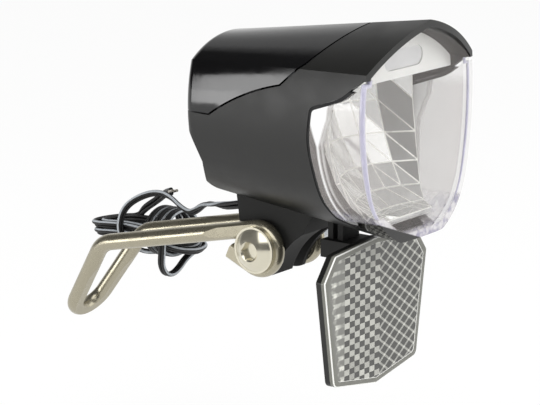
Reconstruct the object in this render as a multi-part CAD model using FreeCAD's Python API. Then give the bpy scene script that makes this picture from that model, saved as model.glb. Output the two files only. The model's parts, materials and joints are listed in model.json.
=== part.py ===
# Dynamo front light for a bicycle: a lamp head that tilts on a bent wire bracket, with a
# retroreflector clipped under its nose and a flat twin cable bundled beside the bracket.
#
# Everything is drawn about the pivot bolt: X runs across the light, -Y is where the light shines,
# +Z is up. Each finished piece is then moved so that the origin is the middle of the rounded end
# of the bracket's loop, where the fork bolt sits. All sizes are millimetres.

import FreeCAD
import Part
import math
import os
from FreeCAD import Vector

# Bracket wire
WIRE_D = 5.0
PRESSED_T = 4.0
PRESS_RUN_OUT = 5.0
EYE_BORE_D = 6.8
ARM_SLOPE = 12.5
ARM_L = 60.0
ARM_FLAT_L = 14.0
BEND_R = 9.0
LEG_SLOPE = 56.0
LEG_L = 30.0
LOOP_END_R = 6.6
LOOP_FLAT_FROM = 9.0
TAIL_L = 8.6
TAIL_SLOPE = 23.5

# Pivot bolt, nut and washer
BOLT_D = 6.0
BOLT_FLANGE_D = 13.6
BOLT_FLANGE_T = 1.1
BOLT_DOME_D = 12.4
BOLT_HEAD_H = 3.7
HEX_KEY = 5.0
HEX_DEPTH = 2.4
HEX_LEAD_IN = 0.6
BOLT_PROUD = 1.2
NUT_AF = 10.0
NUT_H = 5.0
NUT_RING_H = 1.4
NUT_RING_D = 8.6
NUT_ROUND_OFF = 1.2
NUT_COLLAR_D = 9.4
NUT_FACE_D = 9.2
NUT_RING_SINK = 0.1
WASHER_D = 12.0
WASHER_BORE_D = 6.4
WASHER_T = 1.2

# Pivot boss under the lamp
BOSS_W = 15.3
BOSS_R = 8.4
NEAR_CHEEK_W = 9.1
CHEEK_GAP = 4.6
WEB_BOTTOM_Z = 5.6
BOSS_REAR_Y = 8.2
BOSS_REAR_TOP_Y = 10.0
BOSS_TOP_Z = 15.0
BOSS_FRONT_TOP_Y = -19.0
BOSS_FRONT_MID_Y = -13.8
BOSS_FRONT_MID_Z = 5.6
BOSS_WAIST_Y = -7.4
BOSS_WAIST_Z = -0.2
BOSS_FRONT_ANGLE = 246.0
BOSS_BOTTOM_ANGLE = 305.0
SLEEVE_D = 8.4
SIDE_GAP = 0.1
TURN_GAP = 0.05

# Lamp hull: a shield-shaped section at the front and a smaller one at the rear
FRONT_Y = -50.8
FRONT_HALF_W = 27.3
FRONT_WIDEST_Z = 42.0
FRONT_CORNER_W = 26.5
FRONT_CORNER_Z = 57.6
FRONT_APEX_Z = 69.6
FRONT_BULGE = 1.7
FRONT_KEEL_Z = 6.8
REAR_Y = 19.5
REAR_HALF_W = 19.8
REAR_WIDEST_Z = 39.5
REAR_CORNER_W = 17.8
REAR_CORNER_Z = 54.4
REAR_APEX_Z = 60.4
REAR_BULGE = 1.6
REAR_KEEL_Z = 13.8
CHEEK_OUT = 0.89
CHEEK_DOWN = 0.506
KNEE_OUT = 0.675
KNEE_DOWN = 0.79
HEEL_OUT = 0.373
HEEL_DOWN = 0.943
WALL = 2.0
REAR_EDGE_R = 3.5
VISOR_BOW = 3.2
REAR_CUT_TOP_Z = 34.6
REAR_CUT_TOP = 26.4
REAR_CUT_MID_Z = 25.0
REAR_CUT_MID = 22.2
REAR_CUT_LOW = 20.6

# Seam between top cover and housing, seen from the side
SEAM_BACK = 0.35
SEAM_LIFT = 0.45
SEAM_Z = 39.5
SEAM_FLAT_Y = 9.5
SEAM_ARC_Y = -3.9
SEAM_ARC_Z = 46.7
SEAM_KINK_Y = -17.2
SEAM_KINK_Z = 51.0
SEAM_SHOULDER_Y = -24.9
SEAM_SHOULDER_Z = 57.5
SEAM_TOP_Y = -31.5
SEAM_TOP_Z = 67.0
HOOK_W = 6.0
HOOK_L = 3.5
HOOK_T = 1.2
HOOK_GAP = 0.15
TAB_W = 9.0
TAB_T = 2.4
TAB_DROP = 6.5
COVER_SCREW_D = 2.9
COVER_SCREW_HEAD_D = 5.2
COVER_SCREW_HEAD_H = 1.4
COVER_SCREW_L = 4.6
COVER_SCREW_DROP = 3.4
COVER_SCREW_PROUD = 0.4
CROSS_SLOT_W = 0.8
CROSS_SLOT_L = 3.0
CROSS_SLOT_DEPTH = 0.8
TAB_RISE = 3.0

# Lens and its seal
LENS_FRONT_Y = -49.2
LENS_BOW = 1.6
LENS_T = 2.0
LENS_GAP = 0.25
SEAL_W = 1.0
SEAL_GAP = 0.05
WINDOW_FRONT_Z = 55.8
WINDOW_NOTCH_Y = -46.6
WINDOW_DIP_Y = -39.5
WINDOW_DIP_Z = 50.4
WINDOW_TOP_Y = -28.4
WINDOW_TOP_Z = 46.6
WINDOW_REAR_Y = -26.9
WINDOW_REAR_Z = 37.0
WINDOW_LOW_Y = -29.3
WINDOW_LOW_Z = 19.3
WINDOW_FLOOR_Y = -31.0
WINDOW_FLOOR_Z = 14.2
WINDOW_FLOOR_SLOPE = 0.347
NOTCH_R = 1.5
DIP_R = 12.0
TOP_CORNER_R = 2.6
REAR_EDGE_BEND_R = 30.0
LOW_CORNER_R = 12.0
FLOOR_CORNER_R = 1.5
CHIN_FRONT_Y = -43.5
SEAL_SINK = 0.15
SEAL_LIP_H = 1.5
SEAL_OVER_DIP = 2.0

# Reflector bowl
BOWL_HALF_W = 21.2
BOWL_FOOT_SHARE = 0.42
BOWL_TOP_Z = 52.5
BOWL_FOOT_Z = 14.5
BOWL_BACK_Y = -16.0
BOWL_RIM_Y = -31.0
BOWL_FRONT_Y = -44.2
BOWL_T = 1.6
BOWL_COLUMNS = 6
BOWL_ROWS = 6
BOWL_DEEPENING = 0.8
BOWL_FOOT_CURVE = 4
BOWL_SIDE_STEP = 0.02

# Light source above the bowl
SHELF_T = 2.0
SHELF_BACK_Y = -12.5
FIN_COUNT = 5
FIN_PITCH = 5.6
FIN_H = 3.6
FIN_T = 1.2
FIN_L = 18.0
FASCIA_T = 1.8
FASCIA_Y = -42.2
FASCIA_BOTTOM_Z = 53.0
GUIDE_W = 19.0
GUIDE_H = 5.6
GUIDE_RISE = 5.2
GUIDE_T = 1.4
LED_BOARD_W = 14.0
LED_BOARD_L = 9.0
LED_BOARD_T = 1.2
LED_Y = -25.0
LED_W = 3.5
LED_H = 0.9
LED_DOME_D = 2.9

# Driver electronics behind the bowl
BOARD_W = 26.0
BOARD_L = 21.0
BOARD_T = 1.6
BOARD_Z = 29.0
BOARD_Y = 3.5
POST_D = 4.6
POST_INSET = 2.6
SCREW_D = 2.0
SCREW_L = 6.0
SCREW_HEAD_D = 3.8
SCREW_HEAD_H = 1.5
SCREW_SLOT_W = 0.6
SCREW_GAP = 0.1
# Of the components' places, _IN is measured from the board's edge, and _OUT is a share of its
# half width.
STANDLIGHT_D = 11.5
STANDLIGHT_H = 5.5
STANDLIGHT_IN = 8.4
STANDLIGHT_BACK = 2.2
FILTER_D = 6.3
FILTER_H = 8.0
FILTER_OUT = 0.477
FILTER_BACK = 4.1
CAN_EDGE_R = 0.5
CHOKE_D = 7.0
CHOKE_H = 3.6
CHOKE_BORE_D = 2.8
CHOKE_OUT = 0.554
CHOKE_BACK = -2.8
RECTIFIER_W = 3.2
RECTIFIER_L = 5.0
RECTIFIER_H = 2.4
RECTIFIER_OUT = 0.45
RECTIFIER_BACK = -6.9
CHIP_W = 3.6
CHIP_L = 5.0
CHIP_H = 1.6
CHIP_OUT = 0.07
CHIP_BACK = -5.2
TERMINAL_W = 6.0
TERMINAL_L = 5.0
TERMINAL_H = 3.0
LEAD_D = 1.0
LEAD_X = 2.8
LEAD_Y = -5.4
LEAD_BEND_R = 2.2
LEAD_FOLD_R = 0.8
LEAD_INSET = 1.5

# Retroreflector under the nose
RETRO_Y = -34.2
RETRO_APEX_Z = 6.6
RETRO_TOP_HALF_W = 20.2
RETRO_TOP_Z = 4.9
RETRO_HALF_W = 25.4
RETRO_SHOULDER_Z = -1.8
RETRO_FOOT_HALF_W = 20.6
RETRO_FOOT_Z = -32.6
RETRO_POINT_Z = -36.2
RETRO_PLATE_T = 1.3
RETRO_BACK_T = 1.7
RETRO_CORNER_R = 2.2
STEM_HALF_W = 6.0
STEM_TOP_Z = 4.9
STEM_H = 5.1
STEM_REAR_Y = -18.8
CLIP_HALF_W = 4.0
CLIP_T = 1.8
CLIP_PITCH = 3.4
CLIP_FIRST_Y = -20.8
CLIP_BARB = 0.6
CLIP_BARB_H = 1.2
CLIP_BARB_LIFT = 0.5
CLIP_GAP = 0.1

# Flat twin cable
TUBE_D = 2.6
GLAND_BORE_D = 4.4
GLAND_FLANGE_D = 6.4
GLAND_FLANGE_T = 1.0
GLAND_TAIL_L = 3.2
GLAND_TIP_D = 3.8
GLAND_Z = 8.3
CABLE_TURN_R = 3.6
CABLE_UP_Y = 3.6
POCKET_FLOOR = 0.8
TWIN_PITCH = 1.3
TINNED_D = 0.9
TINNED_L = 5.0

# Bundle of spare cable: long loops in two layers, drawn in at the waist, with turns round them
LOOPS_X = 23.9
LOOPS_Y = 65.0
LOOPS_Z = -9.2
LOOPS_SLOPE = 0.0986
LOOPS_SAG = 1.5
LOOP_HALF_L = 20.0
LOOP_HALF_W = 7.3
LOOP_STEP = 3.3
LOOP_WAIST = 0.93
LOOP_STATIONS = 8
LAYER_STEP = 3.2
LOOP_TURNS = 3.5
WRAP_X = 23.25
WRAP_Y = 65.6
WRAP_Z = -10.1
WRAP_HALF_W = 9.2
WRAP_HALF_H = 7.4
WRAP_TURNS = 3
WRAP_STEP = 3.3

X_AXIS = Vector(1, 0, 0)
Y_AXIS = Vector(0, 1, 0)
Z_AXIS = Vector(0, 0, 1)
PIVOT = Vector(0, 0, 0)
FAR = 90.0

gap_x = -BOSS_W / 2 + NEAR_CHEEK_W + CHEEK_GAP / 2
arm_x = BOSS_W / 2 + SIDE_GAP + PRESSED_T / 2
eye_r = (EYE_BORE_D + WIRE_D) / 2
stack_x = arm_x + PRESSED_T / 2
shelf_top = BOWL_TOP_Z + SHELF_T
board_top = BOARD_Z + BOARD_T


def block(x0, x1, y0, y1, z0, z1):
    """A block between three pairs of planes."""
    return Part.makeBox(x1 - x0, y1 - y0, z1 - z0, Vector(x0, y0, z0))


def rod(radius, start, end):
    """A round bar from one point to another."""
    along = end - start
    return Part.makeCylinder(radius, along.Length, start, along)


def side_point(y, z):
    """A point of a side view, in the plane x = 0."""
    return Vector(0, y, z)


def rounded_path(points, radii, closed=False):
    """Straight runs through the points, with each corner rounded by its own radius."""
    count = len(points)
    corners = range(count) if closed else range(1, count - 1)
    starts = list(points)
    middles = list(points)
    ends = list(points)
    for i in corners:
        here = points[i]
        before = (points[i - 1] - here).normalize()
        after = (points[(i + 1) % count] - here).normalize()
        half = before.getAngle(after) / 2
        reach = radii[i] / math.tan(half)
        starts[i] = here + before * reach
        ends[i] = here + after * reach
        middles[i] = here + (before + after).normalize() * (radii[i] / math.sin(half) - radii[i])
    edges = []
    for i in range(count):
        if i in corners and radii[i] > 0:
            edges.append(Part.Arc(starts[i], middles[i], ends[i]).toShape())
        if i == count - 1 and not closed:
            break
        target = starts[(i + 1) % count]
        if (target - ends[i]).Length > 1e-6:
            edges.append(Part.LineSegment(ends[i], target).toShape())
    return Part.Wire(edges)


def tube(path, diameter):
    """A round tube along a path, square to it at both ends."""
    first = path.OrderedEdges[0]
    start = path.OrderedVertexes[0].Point
    along = first.tangentAt(first.FirstParameter)
    if first.valueAt(first.FirstParameter).distanceToPoint(start) > 1e-6:
        along = first.tangentAt(first.LastParameter) * -1
    ring = Part.Wire(Part.makeCircle(diameter / 2, start, along))
    return path.makePipeShell([ring], True, False)


def side_prism(outline, x0, x1):
    """A side view outline stretched across the light from x0 to x1."""
    face = Part.Face(outline)
    face.translate(Vector(x0, 0, 0))
    return face.extrude(Vector(x1 - x0, 0, 0))


def grown(points, step):
    """Side view corners moved so that every side steps outwards by the same distance."""
    count = len(points)
    area = sum(points[i - 1].y * points[i].z - points[i].y * points[i - 1].z for i in range(count))
    turn = 1 if area > 0 else -1
    moved = []
    for i, here in enumerate(points):
        before = (here - points[i - 1]).normalize()
        after = (points[(i + 1) % count] - here).normalize()
        outward = Vector(0, before.z + after.z, -before.y - after.y) * turn
        moved.append(here + outward * (2 * step / outward.dot(outward)))
    return moved


def mirrored(shape):
    """The same shape on the other side of the light."""
    return shape.mirror(PIVOT, X_AXIS)


def hull_section(y, half_w, widest_z, corner_w, corner_z, apex_z, bulge, keel_z, inset):
    """One cross-section: a shallow roof, flanks drawn in below, rounded cheeks and a keel."""
    middle = Vector(0, y, widest_z)

    def drawn_in(x, z):
        corner = Vector(x, y, z)
        return corner + (middle - corner).normalize() * inset

    depth = widest_z - keel_z
    apex = Vector(0, y, apex_z - inset)
    corner = drawn_in(corner_w, corner_z)
    wide = Vector(half_w - inset, y, widest_z)
    cheek = drawn_in(half_w * CHEEK_OUT, widest_z - depth * CHEEK_DOWN)
    knee = drawn_in(half_w * KNEE_OUT, widest_z - depth * KNEE_DOWN)
    heel = drawn_in(half_w * HEEL_OUT, widest_z - depth * HEEL_DOWN)
    keel = Vector(0, y, keel_z + inset)
    fall = (corner - apex).normalize()
    roof = (apex + corner) / 2 + Vector(-fall.z, 0, fall.x) * bulge
    half = [(apex, roof, corner), (corner, wide, cheek), (cheek, knee, heel)]

    def other(point):
        return Vector(-point.x, point.y, point.z)

    arcs = list(half)
    arcs.append((heel, keel, other(heel)))
    for start, via, end in reversed(half):
        arcs.append((other(end), other(via), other(start)))
    return Part.Wire([Part.Arc(*points).toShape() for points in arcs])


def rear_corner_cut(inset):
    """Wedges that thin the lower rear corners, leaning outwards on both sides."""
    lean = math.degrees(math.atan2(0.8, 0.6))
    profile = [
        Vector(REAR_CUT_TOP - inset, 0, REAR_CUT_TOP_Z),
        Vector(REAR_CUT_MID - inset, 0, REAR_CUT_MID_Z),
        Vector(REAR_CUT_LOW - inset, 0, REAR_KEEL_Z),
        Vector(REAR_CUT_LOW - inset, 0, -REAR_KEEL_Z),
        Vector(FAR, 0, -REAR_KEEL_Z),
        Vector(FAR, 0, REAR_CUT_TOP_Z),
    ]
    wedge = Part.Face(Part.makePolygon(profile + profile[:1])).extrude(Vector(0, 2 * FAR, 0))
    wedge.translate(Vector(0, -FAR, 0))
    wedge.rotate(PIVOT, Z_AXIS, lean)
    return wedge.fuse(mirrored(wedge))


def hull(inset):
    """The lamp's outer form, or the same form with every wall stepped inwards."""
    front = hull_section(FRONT_Y, FRONT_HALF_W, FRONT_WIDEST_Z, FRONT_CORNER_W, FRONT_CORNER_Z,
                         FRONT_APEX_Z, FRONT_BULGE, FRONT_KEEL_Z, inset)
    rear = hull_section(REAR_Y, REAR_HALF_W, REAR_WIDEST_Z, REAR_CORNER_W, REAR_CORNER_Z,
                        REAR_APEX_Z, REAR_BULGE, REAR_KEEL_Z, inset)
    body = Part.makeLoft([front, rear], True, True)
    if inset > 0:
        body = body.common(block(-FAR, FAR, -FAR, REAR_Y - inset, -FAR, FAR))
    else:
        rim = [edge for edge in body.Edges if edge.BoundBox.YMin > REAR_Y - 0.01]
        body = body.makeFillet(REAR_EDGE_R, rim)
    return body.cut(rear_corner_cut(inset))


def ahead_of(front_y, bow):
    """All that lies in front of an upright face that bows forward in the middle."""
    side_y = front_y + bow
    arc = Part.Arc(Vector(-FRONT_HALF_W, side_y, 0), Vector(0, front_y, 0),
                   Vector(FRONT_HALF_W, side_y, 0)).toShape()
    rim = [Vector(FRONT_HALF_W, side_y, 0), Vector(FAR, side_y, 0), Vector(FAR, -FAR, 0),
           Vector(-FAR, -FAR, 0), Vector(-FAR, side_y, 0), Vector(-FRONT_HALF_W, side_y, 0)]
    runs = [Part.LineSegment(rim[i], rim[i + 1]).toShape() for i in range(len(rim) - 1)]
    ahead = Part.Face(Part.Wire([arc] + runs)).extrude(Vector(0, 0, 2 * FAR))
    ahead.translate(Vector(0, 0, -FAR))
    return ahead


def cover_region(back, lift):
    """The part of the lamp that belongs to the top cover, seen from the side."""
    arc_from = side_point(SEAM_FLAT_Y, SEAM_Z)
    arc_to = side_point(SEAM_KINK_Y, SEAM_KINK_Z)
    arc = Part.Arc(arc_from, side_point(SEAM_ARC_Y, SEAM_ARC_Z), arc_to).toShape()
    rim = [arc_to, side_point(SEAM_SHOULDER_Y, SEAM_SHOULDER_Z), side_point(SEAM_TOP_Y, SEAM_TOP_Z),
           side_point(SEAM_TOP_Y, FAR), side_point(FAR, FAR), side_point(FAR, SEAM_Z), arc_from]
    runs = [Part.LineSegment(rim[i], rim[i + 1]).toShape() for i in range(len(rim) - 1)]
    region = side_prism(Part.Wire([arc] + runs), -FAR, FAR)
    region.translate(Vector(0, back, lift))
    return region


def floor_z(y):
    """Height of the window's sloping lower edge."""
    return WINDOW_FLOOR_Z + (y - WINDOW_FLOOR_Y) * WINDOW_FLOOR_SLOPE


def window_region(step):
    """The cut-out that the lens fills, seen from the side."""
    corners = [
        side_point(-FAR, WINDOW_FRONT_Z), side_point(WINDOW_NOTCH_Y, WINDOW_FRONT_Z),
        side_point(WINDOW_DIP_Y, WINDOW_DIP_Z), side_point(WINDOW_TOP_Y, WINDOW_TOP_Z),
        side_point(WINDOW_REAR_Y, WINDOW_REAR_Z), side_point(WINDOW_LOW_Y, WINDOW_LOW_Z),
        side_point(WINDOW_FLOOR_Y, WINDOW_FLOOR_Z), side_point(-FAR, floor_z(-FAR)),
    ]
    radii = [0.0, NOTCH_R - step, DIP_R - step, TOP_CORNER_R + step, REAR_EDGE_BEND_R + step,
             LOW_CORNER_R + step, FLOOR_CORNER_R + step, 0.0]
    return side_prism(rounded_path(grown(corners, step), radii, closed=True), -FAR, FAR)


outer = hull(0.0)
inner = hull(WALL)
shell = outer.cut(inner)
window = window_region(0.0)


def boss_outline():
    """Side view of the pivot boss: straight at the rear, drawn in at the front."""
    def on_round(angle):
        turn = math.radians(angle)
        return side_point(math.cos(turn), math.sin(turn)) * BOSS_R

    rear_low = side_point(BOSS_REAR_Y, math.sqrt(BOSS_R ** 2 - BOSS_REAR_Y ** 2))
    front_low = on_round(BOSS_FRONT_ANGLE)
    bottom = on_round(BOSS_BOTTOM_ANGLE)
    front_mid = side_point(BOSS_FRONT_MID_Y, BOSS_FRONT_MID_Z)
    front_top = side_point(BOSS_FRONT_TOP_Y, BOSS_TOP_Z)
    rear_top = side_point(BOSS_REAR_TOP_Y, BOSS_TOP_Z)
    edges = [
        Part.Arc(rear_low, bottom, front_low),
        Part.Arc(front_low, side_point(BOSS_WAIST_Y, BOSS_WAIST_Z), front_mid),
        Part.LineSegment(front_mid, front_top),
        Part.LineSegment(front_top, rear_top),
        Part.LineSegment(rear_top, rear_low),
    ]
    return Part.Wire([edge.toShape() for edge in edges])


def pivot_boss():
    """Two cheeks with a slot between them and a web across the top of the slot."""
    outline = boss_outline()
    near = side_prism(outline, -BOSS_W / 2, gap_x - CHEEK_GAP / 2)
    far = side_prism(outline, gap_x + CHEEK_GAP / 2, BOSS_W / 2)
    web = side_prism(outline, gap_x - CHEEK_GAP / 2, gap_x + CHEEK_GAP / 2)
    web = web.common(block(-FAR, FAR, -FAR, FAR, WEB_BOTTOM_Z, FAR))
    boss = near.fuse([far, web]).cut(inner)
    bore = rod(SLEEVE_D / 2, Vector(-BOSS_W, 0, 0), Vector(BOSS_W, 0, 0))
    return boss.cut(bore)


def cable_pocket():
    """Room above the slot where the cable turns up into the lamp, and the gland's bore."""
    pocket = block(gap_x - CHEEK_GAP / 2, gap_x + CHEEK_GAP / 2,
                   CABLE_UP_Y - TUBE_D, CABLE_UP_Y + TUBE_D,
                   WEB_BOTTOM_Z + POCKET_FLOOR, keel_z(CABLE_UP_Y) + 2 * WALL)
    bore = rod(GLAND_BORE_D / 2, Vector(gap_x, CABLE_UP_Y, GLAND_Z), Vector(gap_x, FAR, GLAND_Z))
    seat = rod(GLAND_FLANGE_D / 2, Vector(gap_x, gland_seat_y(), GLAND_Z),
               Vector(gap_x, FAR, GLAND_Z))
    return pocket.fuse([bore, seat])


def post_places():
    """Where the circuit board is screwed down."""
    across = BOARD_W / 2 - POST_INSET
    along = BOARD_L / 2 - POST_INSET
    return [Vector(sx * across, BOARD_Y + sy * along, BOARD_Z) for sx in (-1, 1) for sy in (-1, 1)]


def clip_places():
    """Where the two ribs of the retroreflector's stem go up into the lamp."""
    return [CLIP_FIRST_Y, CLIP_FIRST_Y - CLIP_PITCH]


def cover_screw_seat():
    """Middle of the shoulder that the cover screw's head rests on."""
    return Vector(0, REAR_Y - COVER_SCREW_HEAD_H + COVER_SCREW_PROUD, SEAM_Z - COVER_SCREW_DROP)


def make_housing():
    """Floor, flanks, visor and pivot boss, with posts for the board and the clips' slots."""
    body = shell.cut(cover_region(0, 0)).cut(window)
    body = body.cut(ahead_of(FRONT_Y, VISOR_BOW))
    body = body.cut(block(-FAR, FAR, -FAR, CHIN_FRONT_Y, -FAR, WINDOW_FLOOR_Z))
    posts = []
    for place in post_places():
        post = rod(POST_D / 2, Vector(place.x, place.y, 0), place).common(hull(WALL / 2))
        posts.append(post.cut(rod(SCREW_D / 2, place - Z_AXIS * SCREW_L, place)))
    body = body.fuse([pivot_boss()] + posts)
    body = body.cut(cable_pocket())
    for y in clip_places():
        body = body.cut(block(-CLIP_HALF_W - CLIP_GAP, CLIP_HALF_W + CLIP_GAP,
                              y - CLIP_T / 2 - CLIP_GAP, y + CLIP_T / 2 + CLIP_GAP, 0, BOWL_FOOT_Z))
    seat = cover_screw_seat()
    behind = Vector(0, FAR, seat.z)
    body = body.cut(rod(COVER_SCREW_D / 2 + HOOK_GAP, Vector(0, 0, seat.z), behind))
    return body.cut(rod(COVER_SCREW_HEAD_D / 2 + HOOK_GAP, seat, behind))


def make_top_cover():
    """The rear of the roof, with hooks inside the flanks and a screwed tab at the rear."""
    region = cover_region(SEAM_BACK, SEAM_LIFT)
    body = shell.common(region)
    hook_zone = hull(WALL - HOOK_T / 2).cut(hull(WALL + HOOK_GAP + HOOK_T))
    below = hull(WALL + HOOK_GAP).cut(hull(WALL + HOOK_GAP + HOOK_T))
    hooks = []
    for side in (-1, 1):
        for y in (SEAM_FLAT_Y - HOOK_W / 2, SEAM_FLAT_Y - HOOK_W * 3):
            column = block(side * FAR if side < 0 else 0, 0 if side < 0 else FAR,
                           y, y + HOOK_W, SEAM_Z - HOOK_L, SEAM_KINK_Z)
            hooks.append(hook_zone.common(column).common(region))
            hooks.append(below.common(column))
    tab_y = REAR_Y - WALL - HOOK_GAP
    tab_top = SEAM_Z + TAB_RISE
    tab = block(-TAB_W / 2, TAB_W / 2, tab_y - TAB_T, tab_y, SEAM_Z - TAB_DROP, tab_top)
    bridge = block(-TAB_W / 2, TAB_W / 2, tab_y - TAB_T, REAR_Y - WALL / 2,
                   SEAM_Z + SEAM_LIFT, tab_top)
    body = body.fuse(hooks + [tab, bridge])
    z = cover_screw_seat().z
    return body.cut(rod(COVER_SCREW_D / 2, Vector(0, 0, z), Vector(0, FAR, z)))


def make_cover_screw():
    """Pan head screw with a cross slot, its thread left plain."""
    seat = cover_screw_seat()
    top = seat + Y_AXIS * COVER_SCREW_HEAD_H
    shank = rod(COVER_SCREW_D / 2, seat - Y_AXIS * COVER_SCREW_L, seat)
    screw = shank.fuse(rod(COVER_SCREW_HEAD_D / 2, seat, top))
    long = CROSS_SLOT_L / 2
    slim = CROSS_SLOT_W / 2
    for x, z in ((slim, long), (long, slim)):
        screw = screw.cut(block(-x, x, top.y - CROSS_SLOT_DEPTH, FAR, top.z - z, top.z + z))
    return screw


def make_lens():
    """The front pane and both flanks in one moulding, with an edge that goes up behind the visor."""
    front = ahead_of(LENS_FRONT_Y, LENS_BOW)
    hollow = ahead_of(LENS_FRONT_Y + LENS_T, LENS_BOW)
    glass = outer.common(window_region(-SEAL_W))
    above_floor = window_region(-SEAL_W - LENS_T)
    above_floor.translate(Vector(0, LENS_T + 2 * SEAL_W, 0))
    cavity = hull(LENS_T).cut(hollow)
    flank_room = cavity.common(above_floor)
    under_roof = cavity.common(block(-FAR, FAR, -FAR, FAR, WINDOW_TOP_Z - 2 * LENS_T, FAR))
    glass = glass.cut(flank_room).cut(under_roof)
    pane = hull(WALL + LENS_GAP).common(hollow)
    pane = pane.common(block(-FAR, FAR, -FAR, FAR, WINDOW_TOP_Z, FAR))
    return glass.fuse(pane).cut(front)


def make_lens_seal():
    """Rubber band between the lens and the housing, sunk a little below both."""
    band = window_region(-SEAL_GAP).cut(window_region(SEAL_GAP - SEAL_W))
    band = band.common(block(-FAR, FAR, LENS_FRONT_Y + LENS_BOW + LENS_T, FAR,
                             -FAR, WINDOW_DIP_Z + SEAL_OVER_DIP))
    band = band.common(hull(SEAL_SINK))
    floor_top = WINDOW_FLOOR_Z + SEAL_LIP_H
    floor = band.common(block(-FAR, FAR, CHIN_FRONT_Y, FAR, -FAR, floor_top))
    return band.cut(inner).fuse(floor)


def bowl_point(u, v):
    """A point of the mirror: u runs across from -1 to 1, v down from 0 to 1."""
    angle = v * math.pi / 2
    z = BOWL_TOP_Z + (BOWL_FOOT_Z - BOWL_TOP_Z) * math.sin(angle)
    sweep = 1 - math.cos(angle)
    back = BOWL_BACK_Y + (BOWL_FRONT_Y - BOWL_BACK_Y) * sweep ** BOWL_DEEPENING
    rim = BOWL_RIM_Y + (BOWL_FRONT_Y - BOWL_RIM_Y) * sweep
    half_w = BOWL_HALF_W * (1 - BOWL_FOOT_SHARE * math.sin(angle) ** BOWL_FOOT_CURVE)
    return Vector(u * half_w, back + (rim - back) * u * u, z)


def make_reflector():
    """A thin bowl of flat facets: a mirror skin, a back skin and the edge between them."""
    def skin_points(depth):
        grid = []
        for row in range(BOWL_ROWS + 1):
            line = []
            for column in range(BOWL_COLUMNS + 1):
                u = 2.0 * column / BOWL_COLUMNS - 1
                v = 1.0 * row / BOWL_ROWS
                here = bowl_point(u, v)
                step = BOWL_SIDE_STEP
                across = bowl_point(min(u + step, 1), v) - bowl_point(max(u - step, -1), v)
                down = bowl_point(u, min(v + step, 1)) - bowl_point(u, max(v - step, 0))
                out = across.cross(down).normalize()
                if row == 0:
                    out = Vector(out.x, out.y, 0).normalize()
                line.append(here + out * depth)
            grid.append(line)
        return grid

    mirror = skin_points(0.0)
    back = skin_points(BOWL_T)
    faces = []

    def patch(a, b, c, d):
        for triangle in ((a, b, c), (a, c, d)):
            faces.append(Part.Face(Part.makePolygon(list(triangle) + [triangle[0]])))

    for row in range(BOWL_ROWS):
        for column in range(BOWL_COLUMNS):
            for grid in (mirror, back):
                patch(grid[row][column], grid[row][column + 1],
                      grid[row + 1][column + 1], grid[row + 1][column])
    for row in range(BOWL_ROWS):
        for column in (0, BOWL_COLUMNS):
            patch(mirror[row][column], mirror[row + 1][column], back[row + 1][column],
                  back[row][column])
    for column in range(BOWL_COLUMNS):
        for row in (0, BOWL_ROWS):
            patch(mirror[row][column], mirror[row][column + 1], back[row][column + 1],
                  back[row][column])
    skin = Part.Shell(faces)
    skin.sewShape()
    bowl = Part.Solid(skin)
    if bowl.Volume < 0:
        bowl.reverse()
    return bowl


def make_heat_sink():
    """Metal shelf over the bowl, with fins on top and two holes for the leads."""
    room = hull(WALL + LENS_GAP)
    plate = room.common(block(-FAR, FAR, FASCIA_Y + FASCIA_T, SHELF_BACK_Y, BOWL_TOP_Z, shelf_top))
    lead_y = led_lead_y()
    fins = []
    for i in range(FIN_COUNT):
        x = (i - (FIN_COUNT - 1) / 2) * FIN_PITCH
        fins.append(block(x - FIN_T / 2, x + FIN_T / 2, SHELF_BACK_Y - FIN_L, SHELF_BACK_Y,
                          shelf_top - FIN_T / 2, shelf_top + FIN_H))
    plate = plate.fuse(fins)
    for x in (-LEAD_X, LEAD_X):
        plate = plate.cut(rod(LEAD_D, Vector(x, lead_y, 0), Vector(x, lead_y, shelf_top)))
    return plate


def led_lead_y():
    """Where the leads come down through the heat sink, at the rear of the light source's board."""
    return LED_Y + LED_BOARD_L / 2 - LEAD_INSET


def make_fascia():
    """Light-coloured plate between the bowl and the visor."""
    room = hull(WALL + LENS_GAP)
    plate = room.common(block(-FAR, FAR, FASCIA_Y, FASCIA_Y + FASCIA_T, FASCIA_BOTTOM_Z, FAR))
    return plate.cut(guide_form(0.0, -FAR, FAR))


def guide_form(gap, y0, y1):
    """A lying stadium through the fascia."""
    r = GUIDE_H / 2 - gap
    z = FASCIA_BOTTOM_Z + GUIDE_RISE
    half = GUIDE_W / 2 - GUIDE_H / 2
    left = rod(r, Vector(-half, y0, z), Vector(-half, y1, z))
    right = rod(r, Vector(half, y0, z), Vector(half, y1, z))
    return left.fuse([right, block(-half, half, y0, y1, z - r, z + r)])


def make_light_guide():
    """Clear window in the fascia's opening, set back from its front."""
    return guide_form(TURN_GAP, FASCIA_Y + FASCIA_T - GUIDE_T, FASCIA_Y + FASCIA_T)


def make_led_board():
    """Small metal board of the light source, under the heat sink."""
    return block(-LED_BOARD_W / 2, LED_BOARD_W / 2, LED_Y - LED_BOARD_L / 2,
                 LED_Y + LED_BOARD_L / 2, BOWL_TOP_Z - LED_BOARD_T, BOWL_TOP_Z)


def make_led():
    """The light source: a square base and a clear dome that face down into the bowl."""
    top = BOWL_TOP_Z - LED_BOARD_T
    base = block(-LED_W / 2, LED_W / 2, LED_Y - LED_W / 2, LED_Y + LED_W / 2, top - LED_H, top)
    dome = Part.makeSphere(LED_DOME_D / 2, Vector(0, LED_Y, top - LED_H))
    dome = dome.common(block(-LED_W, LED_W, LED_Y - LED_W, LED_Y + LED_W, 0, top - LED_H / 2))
    return base.fuse(dome)


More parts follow.
